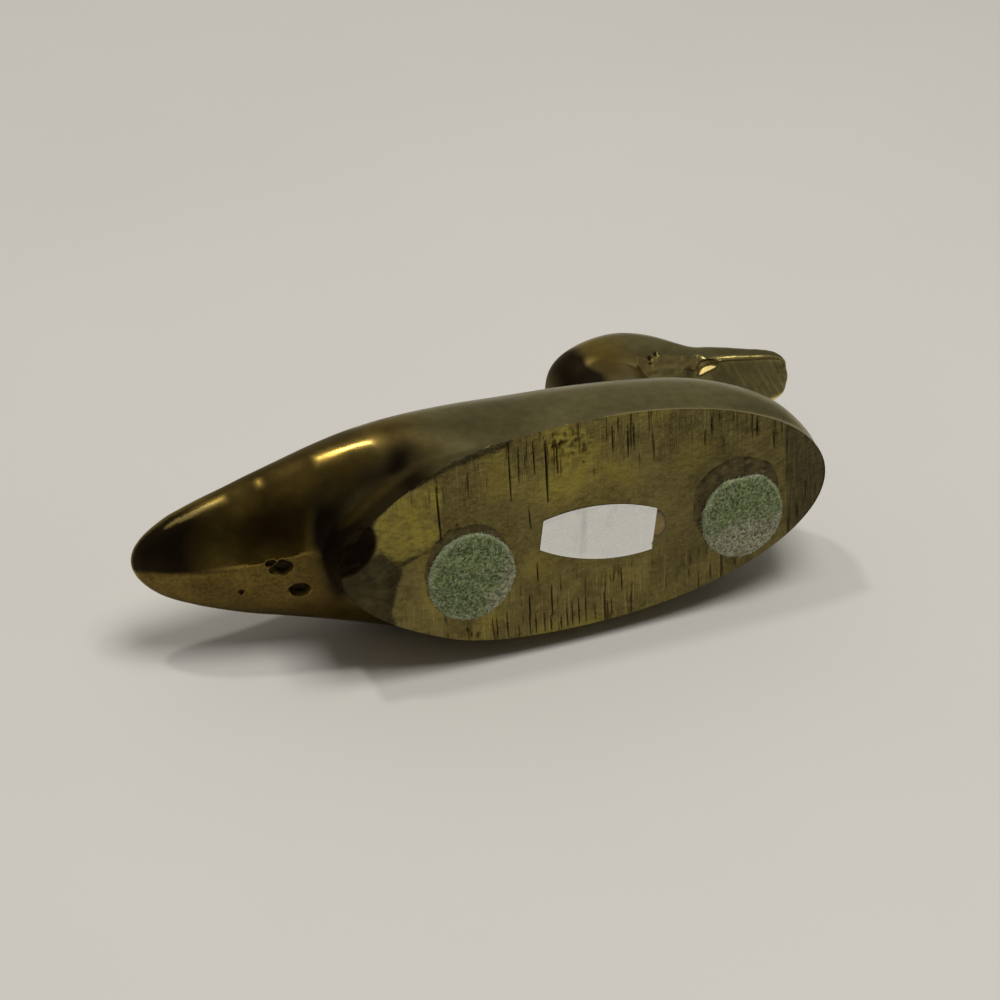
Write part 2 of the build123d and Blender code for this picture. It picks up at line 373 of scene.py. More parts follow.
# Patch of crumbly metal at the edge, and the rubbed ground beside it: centre and half-widths.
ROTTEN_PATCH = (3.9, -19.0)
ROTTEN_SIZE = (6.0, 3.6)
RUBBED_PATCH = (4.7, -13.0)
RUBBED_SIZE = (7.5, 6.0)

# Corners of the rubbed facet and dark lobe at the rear, and of the strip that the grinder missed.
REAR_FACET = ((-24.6, -15.5), (-25.3, -3.5), (-34.0, 0.5), (-38.4, -3.9), (-39.4, -9.1), (-33.4, -15.9))
HEEL_LOBE = ((-34.0, 1.2), (-38.2, -3.6), (-60.0, -4.0), (-60.0, 30.0), (-33.5, 30.0), (-37.0, 9.7))
WEDGE_RIM = ((-40.5, -8.2), (-33.6, -15.2), (-24.6, -18.0), (-18.1, -19.4), (-9.5, -21.2))
ROUGH_WEDGE = WEDGE_RIM + ((-10.0, -30.0), (-50.0, -30.0))

# File cuts along one edge, between two places along the sole, which is nearly an oval.
COMB_START = -14.0
COMB_END = 13.0
COMB_WIDTH = 0.42
OVAL_MIDDLE = 3
OVAL_HALF_LENGTH = 55
OVAL_HALF_WIDTH = 22.7


def combed_rim():
    """Short file cuts side by side along one edge of the sole."""
    random = Random(5)
    cuts = []
    along = COMB_START
    while along < COMB_END:
        rim = OVAL_HALF_WIDTH * math.sqrt(1 - ((along - OVAL_MIDDLE) / OVAL_HALF_LENGTH) ** 2)
        start = rim - random.uniform(2.5, 6.5)
        cuts.append((along, start, along + 0.1, rim - 0.2, COMB_WIDTH, random.uniform(0.12, 0.24)))
        along += random.uniform(1.2, 2.6)
    return tuple(cuts)


ALL_GOUGES = GOUGES + combed_rim()


def gouge_lines():
    """Points, in metres, along the middle and both sides of each gouge."""
    points = []
    for x0, y0, x1, y1, width, _ in ALL_GOUGES:
        for side in (-0.5, -0.22, 0, 0.22, 0.5):
            for share in np.linspace(-0.03, 1.03, int(abs(y1 - y0) / 0.45)):
                points.append((x0 + share * (x1 - x0) + side * width, y0 + share * (y1 - y0)))
    return np.array(points) * MM


def line_distance(points, start, end):
    """Distance of points from a short straight mark, and how far along it they are, from 0 to 1."""
    start, end = np.array(start), np.array(end)
    run = end - start
    share = held(((points - start) @ run) / (run @ run))
    return lengths(points - start - share[:, None] * run), share


def soft_inside(polygon, points, blur):
    """1 well inside a polygon and 0 well outside, with a soft border."""
    loop = resampled(np.array(polygon), 0.5)
    signed = distance_to(loop, points) * np.where(inside(loop, points), 1, -1)
    return step(signed, -blur, blur)


def sole_marks(points):
    """Depth in metres, dirt, clean brass, tarnish with a painted dark reflection on the front facet, and
    scoring of the sole at points given in metres.
    """
    at = points / MM
    x, y = at.T
    flat = np.c_[points, np.zeros(len(points))]

    def rough(size, seed):
        return noise_at(flat, size, seed)

    wobble = np.c_[rough(4, 11), rough(4, 12)]
    depth = 0.03 * (1 + rough(7, 13))
    dirt = np.zeros(len(at))
    for x0, y0, x1, y1, width, deep in ALL_GOUGES:
        far, share = line_distance(at, (x0, y0), (x1, y1))
        swell = 0.45 + 0.55 * np.sin(math.pi * np.clip(share, 0.08, 0.92))
        groove = held(1 - far / (0.5 * width)) * swell
        depth = np.maximum(depth, deep * groove)
        dirt = np.maximum(dirt, 0.9 * held(1.5 * groove))
    ragged = at + 0.55 * np.c_[rough(0.9, 16), rough(0.9, 17)]
    for *middle, width, deep in PITS:
        hole = fade(lengths(ragged - middle), 0.2 * width, 0.6 * width)
        depth = np.maximum(depth, 0.7 * deep * hole)
        dirt = np.maximum(dirt, 0.75 * hole)
    reach = lengths((at - ROTTEN_PATCH) / ROTTEN_SIZE) + 0.3 * rough(2.0, 24)
    rotten = fade(reach, 0.65, 1.15)
    lumps = rough(1.4, 26) + 0.5 * rough(0.7, 27)
    crumbs = rotten * step(lumps, -0.05, 0.3)
    depth += rotten * 0.5 * np.clip(0.15 - lumps, 0, 0.8)
    dirt = np.maximum(dirt, 0.75 * rotten * step(-lumps, 0.14, 0.5))

    facet = soft_inside(REAR_FACET, at + 0.6 * wobble, 0.6)
    lobe = soft_inside(HEEL_LOBE, at + 0.5 * wobble, 0.45) * (1 - facet)
    wedge = soft_inside(ROUGH_WEDGE, at + 0.9 * wobble, 0.5)
    strokes = noise_at(flat * (1.0, 0.12, 1.0), 0.7, 20)
    front = step(x + 0.6 * wobble[:, 0] + 1.3 * strokes, 51.8, 54.6)
    for share, slope, way in ((facet, 0.035, -25 - x), (lobe, 0.03, -33 - x), (front, 0.03, x - 53)):
        depth += share * slope * np.clip(way, 0, None)
    depth += wedge * (0.16 + 0.1 * rough(1.6, 14))

    brightened = blob(at, RUBBED_PATCH, RUBBED_SIZE) * (0.7 + 0.6 * rough(2.5, 21))
    brightened += 0.4 * step(rough(9, 15), 0.0, 0.6)
    mottled = 0.4 + 0.6 * rough(5, 22) + 0.7 * rough(1.0, 25)
    clean = facet * mottled + 1.2 * held(brightened) + 0.8 * crumbs
    speckled = 0.85 + 0.25 * step(rough(1.1, 19), 0.1, 0.5)
    tarnished = 0.28 * step(x + 4 * wobble[:, 0], 16, 32)
    # Painted dark reflection on the front facet; tarnish on the unground strip, the heel lobe and towards the
    # front.
    dark = np.max((front * (0.85 + 0.3 * strokes), 0.95 * wedge, speckled * lobe, tarnished), axis=0)
    dirt = np.maximum(dirt, lobe * (0.3 + 0.3 * rough(2.5, 23)))
    scored = np.maximum(step(np.abs(y), 7, 15), front)
    return depth * MM, held(dirt), held(clean), held(dark), scored


# Form of the castings

# How far the castings are eased in at the joint in the neck, and how high the waves of hand work are.
JOINT_EASE = 0.12 * MM
HAND_WAVES = 0.05 * MM


def foot_plug():
    """A block under the sole that carries the flanks on downwards, so that the cut edge stays crisp."""
    loop = node_outline("body_casting", SOLE_Z)
    low, high = range(len(loop)), range(len(loop), 2 * len(loop))
    places = [(x, y, z) for z in (SOLE_Z - 6.0 * MM, SOLE_Z + 1.0 * MM) for x, y in loop]
    return mesh_from(places, [tuple(low), tuple(high)] + wall(low, high))


def even_skin(names, extra, voxel):
    """Outer skin of several nodes grown together, as one even mesh."""
    mesh = bpy.data.meshes.new("grown")
    with reshaping(mesh, *[merged_node(name) for name in names], *extra) as work:
        turn_outwards(work)
    thing = placed("grown", mesh)
    remesh = thing.modifiers.new("even", "REMESH")
    remesh.mode = "VOXEL"
    remesh.voxel_size = voxel
    return evaluated_mesh(thing)


def finer_near(mesh, centres, reach):
    """The mesh with its faces split small near some points given in millimetres."""
    spots = [Vector(centre) * MM for centre in centres]
    with reshaping(mesh) as work:
        for distance in (reach * MM, 0.8 * reach * MM):
            edges = {}
            for face in work.faces:
                if min((face.calc_center_median() - spot).length for spot in spots) < distance:
                    edges.update(dict.fromkeys(face.edges))
            bmesh.ops.subdivide_edges(work, edges=list(edges), cuts=1, use_grid_fill=True)
    return mesh


def cut(work, level, keep_above):
    """Cuts a mesh at a level, keeps one side and returns the vertices of the cut in order."""
    result = bmesh.ops.bisect_plane(
        work,
        geom=work.verts[:] + work.edges[:] + work.faces[:],
        dist=0.03 * MM,
        plane_co=(0, 0, level),
        plane_no=(0, 0, 1),
        clear_inner=keep_above,
        clear_outer=not keep_above,
    )
    rim = [e for e in result["geom_cut"] if isinstance(e, bmesh.types.BMEdge)]
    loop = ordered_loop([(e.verts[0], e.verts[1]) for e in rim])
    for vertex in loop:
        vertex.co.z = level
    return loop


def close_neck(work, keep_above):
    """Cuts a casting at the joint in the neck, eases the edge of the cut and closes it."""
    loop = cut(work, JOINT_Z, keep_above)
    for vertex in loop:
        vertex.co -= JOINT_EASE * Vector((vertex.normal.x, vertex.normal.y, 0))
    work.faces.new(loop)


def hand_finish(places, normals):
    """Slow waves that hand filing and polishing leave in a casting."""
    waves = noise_at(places, 13, 1) + 0.35 * noise_at(places, 5, 2)
    return places + normals * (HAND_WAVES * waves)[:, None]


def dent(places, normals, centre, across, depth, wobble, seed):
    """A pit with steep sides, and how far each place lies inside it, from 0 to 1."""
    gap = (places - np.array(centre) * MM) / (np.array(across) * MM / 2)
    far = lengths(gap)
    near = far < 2.5
    far[near] += wobble * noise_at(places[near], across[0] * 0.4, seed)
    share = fade(far, 0.45, 1.05)
    return places - normals * (share * depth * MM)[:, None], share


def filed_flat(places, centre, normal, depth, reach):
    """Cuts what stands out past a file's plane near a point, and marks it."""
    gap = places - np.array(centre) * MM
    normal = np.array(normal) / np.linalg.norm(normal)
    proud = gap @ normal + depth * MM
    share = (proud > 0) * fade(lengths(gap), 0.75 * reach * MM, reach * MM)
    return places - normal * (proud * share)[:, None], share


# Body casting

# Casting pits under the tail: centre, size across, depth, raggedness and seed. The skin is finer near them.
TAIL_PITS = (
    ((-54.6, 1.8, 16.1), (4.6, 3.7, 9.0), 1.3, 0.35, 21),
    ((-56.9, 0.5, 16.3), (2.6, 1.9, 9.0), 0.8, 0.3, 24),
    ((-51.2, 7.9, 16.0), (4.6, 3.8, 9.0), 1.5, 0.15, 22),
    ((-62.8, 6.8, 18.7), (1.5, 1.5, 6.0), 0.5, 0.1, 23),
)
PIT_REACH = 4.5

# Ways that the polished shoulder of the tail faces where the lamp's glint falls, and that the spot near its
# tip faces where a highlight is painted.
TAIL_SHOULDER = (-0.30, -0.83, -0.46)
TAIL_END = (-0.40, -0.76, -0.51)

# Hollow flaw in the heel, painted black as shade: centre and radius.
HEEL_SCOOP = (-45.9, -6.6, -1.0)
HEEL_SCOOP_RADIUS = 6.5

# Middle line of the keel under the tail: places along it, and how far aside it lies there.
KEEL_ALONG = (-81.5, -58.6, -46.8)
KEEL_ASIDE = (1.3, 0.2, -1.2)
KEEL_HALF_WIDTH = 9
KEEL_HEIGHT = 0.8

# Length of tail that is faired, and the degrees of the curves that follow its waves and leave them out.
FAIRED_LENGTH = 34.0
WAVY_DEGREE = 11
EVEN_DEGREE = 3

# Painted shade in the notch and hollows around the heel: centre and size.
HEEL_NOTCH = ((-46.0, -5.0, 8.0), (4.5, 9.0, 6.0))
HEEL_FRONT = ((-46.8, -3.0, 6.0), (2.5, 8.0, 6.0))
BEHIND_HEEL = ((-43.5, 7.5, 12.5), (3.6, 9.0, 7.0))

# Stretches along the body where the shoulder has lost its polish.
DULL_STRETCHES = ((-63.5, -56.6), (-54.9, -44.5), (-32.5, 90.0))
DULL_BLUR = 1.2

# Height and width of the band above the sole that carries a painted highlight, and height of the rough ridge
# beside the heel, where shade is painted.
EDGE_HEIGHT = 1.35
EDGE_WIDTH = 0.45
RIDGE_HEIGHT = 13.8
RIDGE_SLOPE = -0.17
RIDGE_X = -44.5
RIDGE_WIDTH = 2.4


def scooped(place):
    """A place pushed clear of the hollow flaw in the heel."""
    centre = Vector(HEEL_SCOOP) * MM
    gap = place - centre
    if gap.length >= HEEL_SCOOP_RADIUS * MM:
        return place
    ragged = 1 + 0.06 * noise.noise(place / (1.4 * MM))
    return centre + gap.normalized() * HEEL_SCOOP_RADIUS * MM * ragged


def in_scoop(places):
    """How far places lie in the flaw in the heel, from 0 to 1."""
    past = lengths(places / MM - HEEL_SCOOP) - HEEL_SCOOP_RADIUS
    return fade(past, 0.3, 1.3)


def tail_keel(places, normals):
    """A low ridge along the underside of the tail, from its tip to the heel."""
    x, y, _ = places.T / MM
    aside = np.abs(y - np.interp(x, KEEL_ALONG, KEEL_ASIDE))
    length = (0.45 + 0.55 * step(x, -82, -74)) * fade(x, -52, -46)
    under = step(-normals[:, 2], 0.0, 0.4)
    moved = places.copy()
    moved[:, 2] -= KEEL_HEIGHT * MM * length * under * held(1 - aside / KEEL_HALF_WIDTH) ** 2
    return moved


def faired_tail(places):
    """The tail drawn out evenly to its tip, without the slow waves between the sections of the solid."""
    at = places / MM
    tip_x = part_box("body_casting")[0].x / MM - 0.1
    tip_z = at[np.argmin(at[:, 0]), 2]
    root = np.sqrt(np.clip(at[:, 0] - tip_x, 0, None))
    longest = math.sqrt(FAIRED_LENGTH)
    bins = np.linspace(0.15, longest, 60)
    which = np.digitize(root, bins)
    share = fade(root ** 2, 22, 33)
    moved = at.copy()
    for axis, sign, middle in ((1, 1, 0.0), (1, -1, 0.0), (2, 1, tip_z), (2, -1, tip_z)):
        out = sign * (at[:, axis] - middle)
        peaks = []
        for here in (np.flatnonzero(which == b) for b in range(1, len(bins))):
            if len(here):
                best = here[np.argmax(out[here])]
                peaks.append((root[best], out[best]))
        along, found = np.array(peaks).T
        curves = (np.polyfit(along, found, degree) for degree in (WAVY_DEGREE, EVEN_DEGREE))
        now, even = (np.polyval(curve, root) for curve in curves)
        factor = 1 + share * (even / np.where(np.abs(now) < 0.3, even, now) - 1)
        change = (root < longest) & (out > 0) & (root > 0.3)
        moved[change, axis] = middle + sign * (out * np.clip(factor, 0.85, 1.15))[change]
    return moved * MM


def body_skin():
    """The body's outer skin with its flaws, and its pits marked."""
    names = ("body_casting", "head_casting", "sole_plate", "sole_braze_seam", "neck_screw", "neck_washer")
    mesh = finer_near(even_skin(names, [foot_plug()], BODY_VOXEL), [pit[0] for pit in TAIL_PITS], PIT_REACH)
    places, triangles = arrays_of(mesh)
    edges = rows_of(mesh.edges, "vertices", 2, int)
    places = evened(places, edges, 40)
    x, _, z = places.T / MM
    low_flank = fade(z, 5, 9) + band(-x, 36, 40, 52, 56) * (z < 20)
    places = faired_tail(evened(places, edges, 60, held(low_flank)[:, None]))
    normals = vertex_normals(places, triangles)
    places = tail_keel(hand_finish(places, normals), normals)
    normals = vertex_normals(places, triangles)
    pitted = np.zeros(len(places))
    for pit in TAIL_PITS:
        places, share = dent(places, normals, *pit)
        pitted = np.maximum(pitted, share)
    low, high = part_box("body_casting")
    places[:, 1] = np.clip(places[:, 1], low.y, high.y)
    set_places(mesh, places)
    set_attributes(mesh, pitted=pitted)
    return mesh


def body_mesh():
    """The body from the sole to the joint in the neck, with its rim and the pocket for the plate."""
    mesh = body_skin()
    with reshaping(mesh) as work:
        close_neck(work, False)
        foot = cut(work, SOLE_Z, True)
        outer = np.array([vertex.co[:2] for vertex in foot])
        points, faces = filled_face(outer, SEAM_OUTLINE, SOLE_GRID, gouge_lines())
        ground = np.c_[points, SOLE_Z + sole_marks(points)[0]]
        for vertex, place in zip(foot, ground):
            vertex.co.z = place[2]
        fresh = [work.verts.new(place) for place in ground[len(foot):]]
        rim = foot + fresh
        for face in faces:
            work.faces.new([rim[i] for i in face]).material_index = 1
        lip = fresh[: len(SEAM_OUTLINE)]
        roof = [work.verts.new((vertex.co.x, vertex.co.y, PLATE_TOP_Z)) for vertex in lip]
        for face in wall(lip, roof) + [roof]:
            work.faces.new(face)
        turn_outwards(work)
        for vertex in work.verts:
            vertex.co = scooped(vertex.co)
    return mesh


def painted_nape_reflection(places):
    """Painted dark reflection on the back of the neck, over both castings."""
    x, _, z = places.T / MM
    rear = step(x, 24, 31) * fade(x + 0.8 * noise_at(places, 4, 42), 34.4, 37.4)
    return rear * band(z, 38, 47, 70, 80)


def paint_body(mesh):
    """Marks where the body is rubbed clean, dark or scored, with painted shade, a painted dark reflection and
    painted highlights.
    """
    places, triangles = arrays_of(mesh)
    at = places / MM
    x, y, z = at.T
    normals = vertex_normals(places, triangles)
    depth, dirt, clean, dark, scored = sole_marks(places[:, :2])
    on_sole = np.abs(places[:, 2] - SOLE_Z - depth) < 0.02 * MM
    # Painted shade: the hollow flaw in the heel is painted black through the dirt and dark marks.
    scoop = in_scoop(places)
    blotch = noise_at(places, 9, 31)
    spots = noise_at(places, 1.1, 32)

    # Painted shade on the heel's wall in the notch under the tail.
    heel_wall_shade = band(-x, 22, 30, 49, 52) * fade(z, 5, 10) * fade(y, 0, 6)
    # Painted shade along the ridge beside the heel, which hides its highlight; it also makes the ridge less
    # warm and duller.
    ridge_z = RIDGE_HEIGHT + RIDGE_SLOPE * (x - RIDGE_X)
    heel_ridge = np.exp(-(((z - ridge_z) / RIDGE_WIDTH) ** 2)) * fade(y, -4, 2) * band(-x, 24, 31, 46, 50)
    downward = -normals[:, 2]
    # Painted shade on the underside of the tail, darkened like the shaded table that it mirrors; the same
    # mask places freckles.
    under_tail = step(-x, 44, 50) * step(downward, 0.1, 0.5) * step(normals[:, 1], -0.02, 0.12)
    tail_tip = step(-x, 60, 76) * fade(y, 0.4, 1.4) * step(downward, -0.1, 0.3)

    shoulder = normals @ TAIL_SHOULDER
    dull = np.zeros(len(at))
    for low, high in DULL_STRETCHES:
        start = step(x + 1.5 * blotch, low - DULL_BLUR, low + DULL_BLUR)
        dull = np.maximum(dull, start * fade(x, high - DULL_BLUR, high + DULL_BLUR))
    glint = step(shoulder, 0.95, 0.985) * (1 - dull)
    # Painted shade on the top of the tail, which dims the spread of the lamp's highlight but spares its
    # glint.
    upper_tail_shade = step(-normals[:, 1], 0.35, 0.7) * step(-x, 31, 37) * step(z, 16, 20)
    upper_tail_shade *= 1 - 0.6 * step(-x, 64, 68)
    # Painted highlight near the tail's tip, where it faces the lamp's reflection.
    brightened = step(normals @ TAIL_END, 0.99, 0.999) * band(-x, 64, 66, 75, 78)

    # Darkness of the skin: pits, blotches and the tail's tip, with painted shade around the heel and tail and
    # a painted dark reflection at the nape.
    skin_dark_and_shade = attribute_of(mesh, "pitted") + painted_nape_reflection(places) + 0.85 * heel_wall_shade + 0.75 * heel_ridge
    # Painted shade in the notch and behind the heel.
    skin_dark_and_shade += 0.75 * blob(at, *HEEL_NOTCH) + blob(at, *HEEL_FRONT) + 1.1 * blob(at, *BEHIND_HEEL)
    skin_dark_and_shade += 1.05 * tail_tip + 0.5 * under_tail + 0.6 * upper_tail_shade * (1 - glint)
    skin_dark_and_shade += 0.2 * step(blotch, 0.0, 0.7) * step(-x, 10, 30)
    # Painted shade on the flank where it faces the lamp's reflection.
    skin_dark_and_shade += 0.4 * step(shoulder, 0.8, 0.95) * band(x, -34, -29, -16, -8)
    skin_dark_and_shade *= 1 - brightened

    edge = np.exp(-(((z - EDGE_HEIGHT) / EDGE_WIDTH) ** 2))
    # Painted highlight along the edge above the sole, on the side that faces up.
    edge_highlight = edge * step(-normals[:, 1], 0.2, 0.7) * step(x + 6 * blotch, 8, 16)
    lobe_edge = edge * step(-x, 30, 36) * step(y, -2, 2)
    nicks = edge * step(spots, 0.42, 0.5)
    # Brightness of the skin: nicks and the lobe's edge, with painted highlights along the edge and near the
    # tail's tip.
    skin_clean = 0.8 * edge_highlight + 0.9 * nicks + 0.5 * lobe_edge + 0.4 * brightened
    set_attributes(
        mesh,
        dirt=np.maximum(on_sole * dirt, scoop),
        clean=np.where(on_sole, clean, held(skin_clean)),
        dark=np.maximum(np.where(on_sole, dark, held(skin_dark_and_shade)), scoop),
        warm=step(-x + 12 * blotch, 13, 43) * (1 - 0.8 * heel_ridge),
        scored=scored,
        brushed=np.zeros(len(at)),
        dull=np.maximum(heel_ridge, dull * step(shoulder, 0.75, 0.92)),
        freckled=under_tail,
    )


# Head casting

# Filed places on the head: centre, the way it faces, depth and reach.
CHEEK = (54.6, -6.2, 57.7)
CHEEK_DEPTH = 0.2
CHEEK_REACH = 9
BILL_ROOT_FACET = (63.2, -4.0, 55.2)
BILL_ROOT_NORMAL = (-0.42, -0.79, -0.44)
BILL_ROOT_DEPTH = 0.68
BILL_ROOT_REACH = 3.1

# Nicks in the cheek: centres, and size across, depth, raggedness and seed.
CHEEK_NICKS = ((50.2, -8.2, 59.6), (50.0, -7.5, 58.2), (52.0, -8.6, 60.2))
NICK_FORM = ((1.3, 1.3, 1.6), 0.35, 0.3, 41)

# Eyes: x and z, and depth.
EYE = (50.25, 70.85)
EYE_DEPTH = 0.45

# Flat underside of the bill: its height at a place along the duck, and its fall per millimetre.
BILL_FLOOR_X = 70.0
BILL_FLOOR_Z = 54.64
BILL_FLOOR_SLOPE = 0.2125

# Section of the bill: half-width of the flat and its bevel as shares of the width, height of the waist.
BILL_FLAT = 0.81
BILL_BEVEL = 0.07
BILL_WAIST = 0.42
BILL_TIP_X = 82.5

# Places along the bill, and its extra half-width there.
SPREAD_ALONG = (60.0, 64.0, 67.0, 70.0, 73.0, 76.0, 78.0, 80.0, 81.0)
SPREAD = (0.0, 0.3, 0.75, 0.85, 0.6, 0.0, -0.6, -1.4, -1.5)

# Shaded and rubbed places on the head: centre and size.
NECK_SIDE = ((37.8, -9.2, 58.0), (4.2, 5.0, 6.5))
THROAT = ((45.0, -8.0, 56.0), (2.6, 4.0, 3.5))
BILL_CORNER = ((58.9, -3.8, 57.0), (1.5, 2.2, 1.5))


def bill_floor(along):
    """Height of the bill's flat underside, in millimetres, at a distance along the duck."""
    return BILL_FLOOR_Z - BILL_FLOOR_SLOPE * (along - BILL_FLOOR_X)


def bill_outline():
    """Half of the bill's section, one wide and one tall: angles from straight down, reach from its waist."""
    floor = np.c_[np.linspace(0, BILL_FLAT, 20)[:-1], np.zeros(19)]
    start = BILL_FLAT + BILL_BEVEL
    rise = np.linspace(0, 1, 40)
    side = start + (1 - start) * np.sin(rise * math.pi / 2)
    low = np.c_[side, BILL_BEVEL + (BILL_WAIST - BILL_BEVEL) * rise]
    turn = np.linspace(0, math.pi / 2, 40)[1:]
    high = np.c_[np.cos(turn) ** 0.8, BILL_WAIST + (1 - BILL_WAIST) * np.sin(turn) ** 0.8]
    aside, up = np.vstack((floor, low, high)).T
    return np.arctan2(aside, BILL_WAIST - up), np.hypot(aside, BILL_WAIST - up)


def full_bill(places):
    """The bill with a flat underside out to a crisp edge, full sides and a blunt tip, and the painted
    highlight along its edge marked.
    """
    at = places / MM
    along, aside, height = at.T
    bill = (along > 58) & (height > 50)
    stations = np.arange(60, 81)
    slices = [bill & (np.abs(along - station) < 0.4) for station in stations]
    where = np.clip(along, 60, 80)
    wide = np.interp(where, stations, [np.abs(aside[near]).max() for near in slices])
    tall = np.interp(where, stations, [height[near].max() for near in slices]) - bill_floor(where)
    across = aside / wide
    up = (height - bill_floor(along)) / tall - BILL_WAIST
    angle, reach = np.arctan2(np.abs(across), -up), np.hypot(across, up)
    wanted = np.interp(angle, *bill_outline())

    # Past the last full section, the reach is measured by direction alone.
    last = bill & (along > 78.8) & (along < 80)
    spokes = np.linspace(0, math.pi, 41)
    which = np.digitize(angle[last], spokes)
    found = [reach[last][which == spoke].mean() for spoke in range(1, len(spokes))]
    at_tip = np.interp(angle, (spokes[1:] + spokes[:-1]) / 2, found)
    tip = step(along, 78.8, 79.8)
    share = step(along, 61, 66) * bill
    factor = wanted / ((1 - tip) * np.maximum(reach, 0.05) + tip * at_tip)
    factor = 1 + share * (factor - 1)

    moved = at.copy()
    corner = step(np.abs(aside), 2.0, 5.0) * step(along, 77.0, 80.5) * np.where(aside < 0, 0.9, 0.5)
    moved[:, 0] = np.minimum(along + corner, np.maximum(along, BILL_TIP_X))
    moved[:, 1] *= factor * (1 + share * np.interp(along, SPREAD_ALONG, SPREAD) / wide)
    moved[:, 2] = np.where(bill, bill_floor(along) + (BILL_WAIST + up * factor) * tall, height)
    # Painted highlight along the edge between the bill's flat underside and its side.
    edge_angle = math.atan2(BILL_FLAT + BILL_BEVEL / 2, BILL_WAIST - BILL_BEVEL / 2)
    edge = np.exp(-(((angle - edge_angle) * wide / 0.5) ** 2)) * band(along, 64, 66, 81.6, 82.3)
    return moved * MM, edge * bill


def from_eye(places):
    """Distance of places from the eyes, in millimetres, as seen from the side."""
    return lengths(places[:, (0, 2)] / MM - EYE)


def head_mesh():
    """The head above the joint, with filed cheek and bill, shallow eyes and small nicks."""
    mesh = even_skin(("body_casting", "head_casting", "neck_screw"), [], HEAD_VOXEL)
    places, triangles = arrays_of(mesh)
    edges = rows_of(mesh.edges, "vertices", 2, int)
    bill = step(places[:, 0] / MM, 60, 64)
    places, arris = full_bill(evened(places, edges, 40, 1 - 0.75 * bill[:, None]))
    normals = vertex_normals(places, triangles)
    places = hand_finish(places, normals)
    cheek = np.argmin(lengths(places / MM - CHEEK))
    places, filed = filed_flat(places, CHEEK, normals[cheek], CHEEK_DEPTH, CHEEK_REACH)
    places = places + normals * (HAND_WAVES * filed * noise_at(places, 1.3, 44))[:, None]
    places, bright = filed_flat(places, BILL_ROOT_FACET, BILL_ROOT_NORMAL, BILL_ROOT_DEPTH, BILL_ROOT_REACH)
    normals = vertex_normals(places, triangles)
    nicked = np.zeros(len(places))
    for spot in CHEEK_NICKS:
        places, share = dent(places, normals, spot, *NICK_FORM)
        nicked = np.maximum(nicked, share)
    for side in (-1, 1):
        hollow = step(side * normals[:, 1], 0.3, 0.6) * fade(from_eye(places), 0.5, 1.9)
        places = places - normals * (EYE_DEPTH * MM * hollow)[:, None]
    set_places(mesh, places)
    set_attributes(mesh, filed=filed, bright=bright, nicked=nicked, arris=arris)
    with reshaping(mesh) as work:
        close_neck(work, True)
        turn_outwards(work)
    return mesh


def paint_head(mesh):
    """Marks where the head is rubbed, dark and brushed, with painted shade, a painted dark reflection at the
    nape and a painted highlight along the bill's edge.
    """
    places, triangles = arrays_of(mesh)
    at = places / MM
    x, _, z = at.T
    names = ("filed", "bright", "nicked", "arris")
    filed, bright, nicked, arris = (attribute_of(mesh, name) for name in names)
    under_bill = step(x, 62, 66) * step(-vertex_normals(places, triangles)[:, 2], 0.7, 0.9)
    eyes = fade(from_eye(places), 0.8, 1.8)
    scuffed = filed * (0.6 + 0.4 * noise_at(places, 1.5, 43))
    facet_rim = np.exp(-(((filed - 0.35) / 0.2) ** 2)) * step(z, 57, 59) * fade(x, 58, 60)
    # Brightness: the filed places and the throat, with the painted highlight along the bill's edge.
    clean = 0.6 * bright + arris + 0.45 * scuffed + 0.3 * blob(at, *THROAT) + 0.2 * facet_rim
    shaded = 0.45 * blob(at, *NECK_SIDE) + 0.5 * blob(at, *BILL_CORNER)
    set_attributes(
        mesh,
        clean=held(clean),
        # Dark: nicks and eyes, painted shade, and the painted dark reflection at the nape.
        dark=held(0.9 * nicked + painted_nape_reflection(places) + 0.5 * eyes + shaded),
        warm=np.exp(-(((x - 40) / 6) ** 2)) * step(z, 44, 54),
        brushed=under_bill,
        freckled=filed,
        dull=held(0.6 * under_bill + 1.5 * scuffed + bright),
    )


# Sole plate and its seam


def slab_mesh(outer, inner=None):
    """A flat piece of the sole, or a ring of it, with the sole's marks on its ground face."""
    points, faces = filled_face(outer, inner, SOLE_GRID, gouge_lines())
    depth, dirt, clean, dark, scored = sole_marks(points)
    count, width = len(points), len(outer)
    loops = [range(width)]
    if inner is not None:
        loops.append(range(width, width + len(inner)))
    rim = loops[-1].stop
    ground = np.c_[points, SOLE_Z + depth]
    top = np.c_[points[:rim], np.full(rim, PLATE_TOP_Z)]
    faces = list(faces)
    for loop in loops:
        faces += wall(loop, [count + i for i in loop])
    if inner is None:
        faces.append(range(count, count + rim))
    else:
        ring = filled_face(points[:width], points[width:rim], TOP_GRID)[1]
        faces += [count + face for face in ring if max(face) < rim]
    mesh = mesh_from([scooped(Vector(place)) for place in np.vstack((ground, top))], faces)
    # The hollow flaw at the heel is painted black, a painted shade, along with the sole's dirt.
    marks = {"dirt": np.maximum(dirt, in_scoop(ground)), "clean": clean, "dark": dark, "scored": scored}
    set_attributes(mesh, **{name: np.r_[values, np.zeros(rim)] for name, values in marks.items()})
    return smooth_shaded(mesh, 50)


# Node trees


def plug(tree, socket, value):
    """Links an input to another node's output, or sets it to a value."""
    if isinstance(value, bpy.types.NodeSocket):
        tree.links.new(value, socket)
    else:
        socket.default_value = value


def add_node(tree, kind, links=(), **settings):
    """A node with settings, and inputs that are linked or set by their name or number."""
    made = tree.nodes.new(kind)
    for key, value in settings.items():
        setattr(made, key, value)
    for key, value in dict(links).items():
        plug(tree, made.inputs[key], value)
    return made


# Discs of felt and glue

PAD_RINGS = 26
PAD_SPOKES = 110
PAD_MIDDLE_Z = 0.2 * MM
FILM_RINGS = 22
FILM_SPOKES = 96

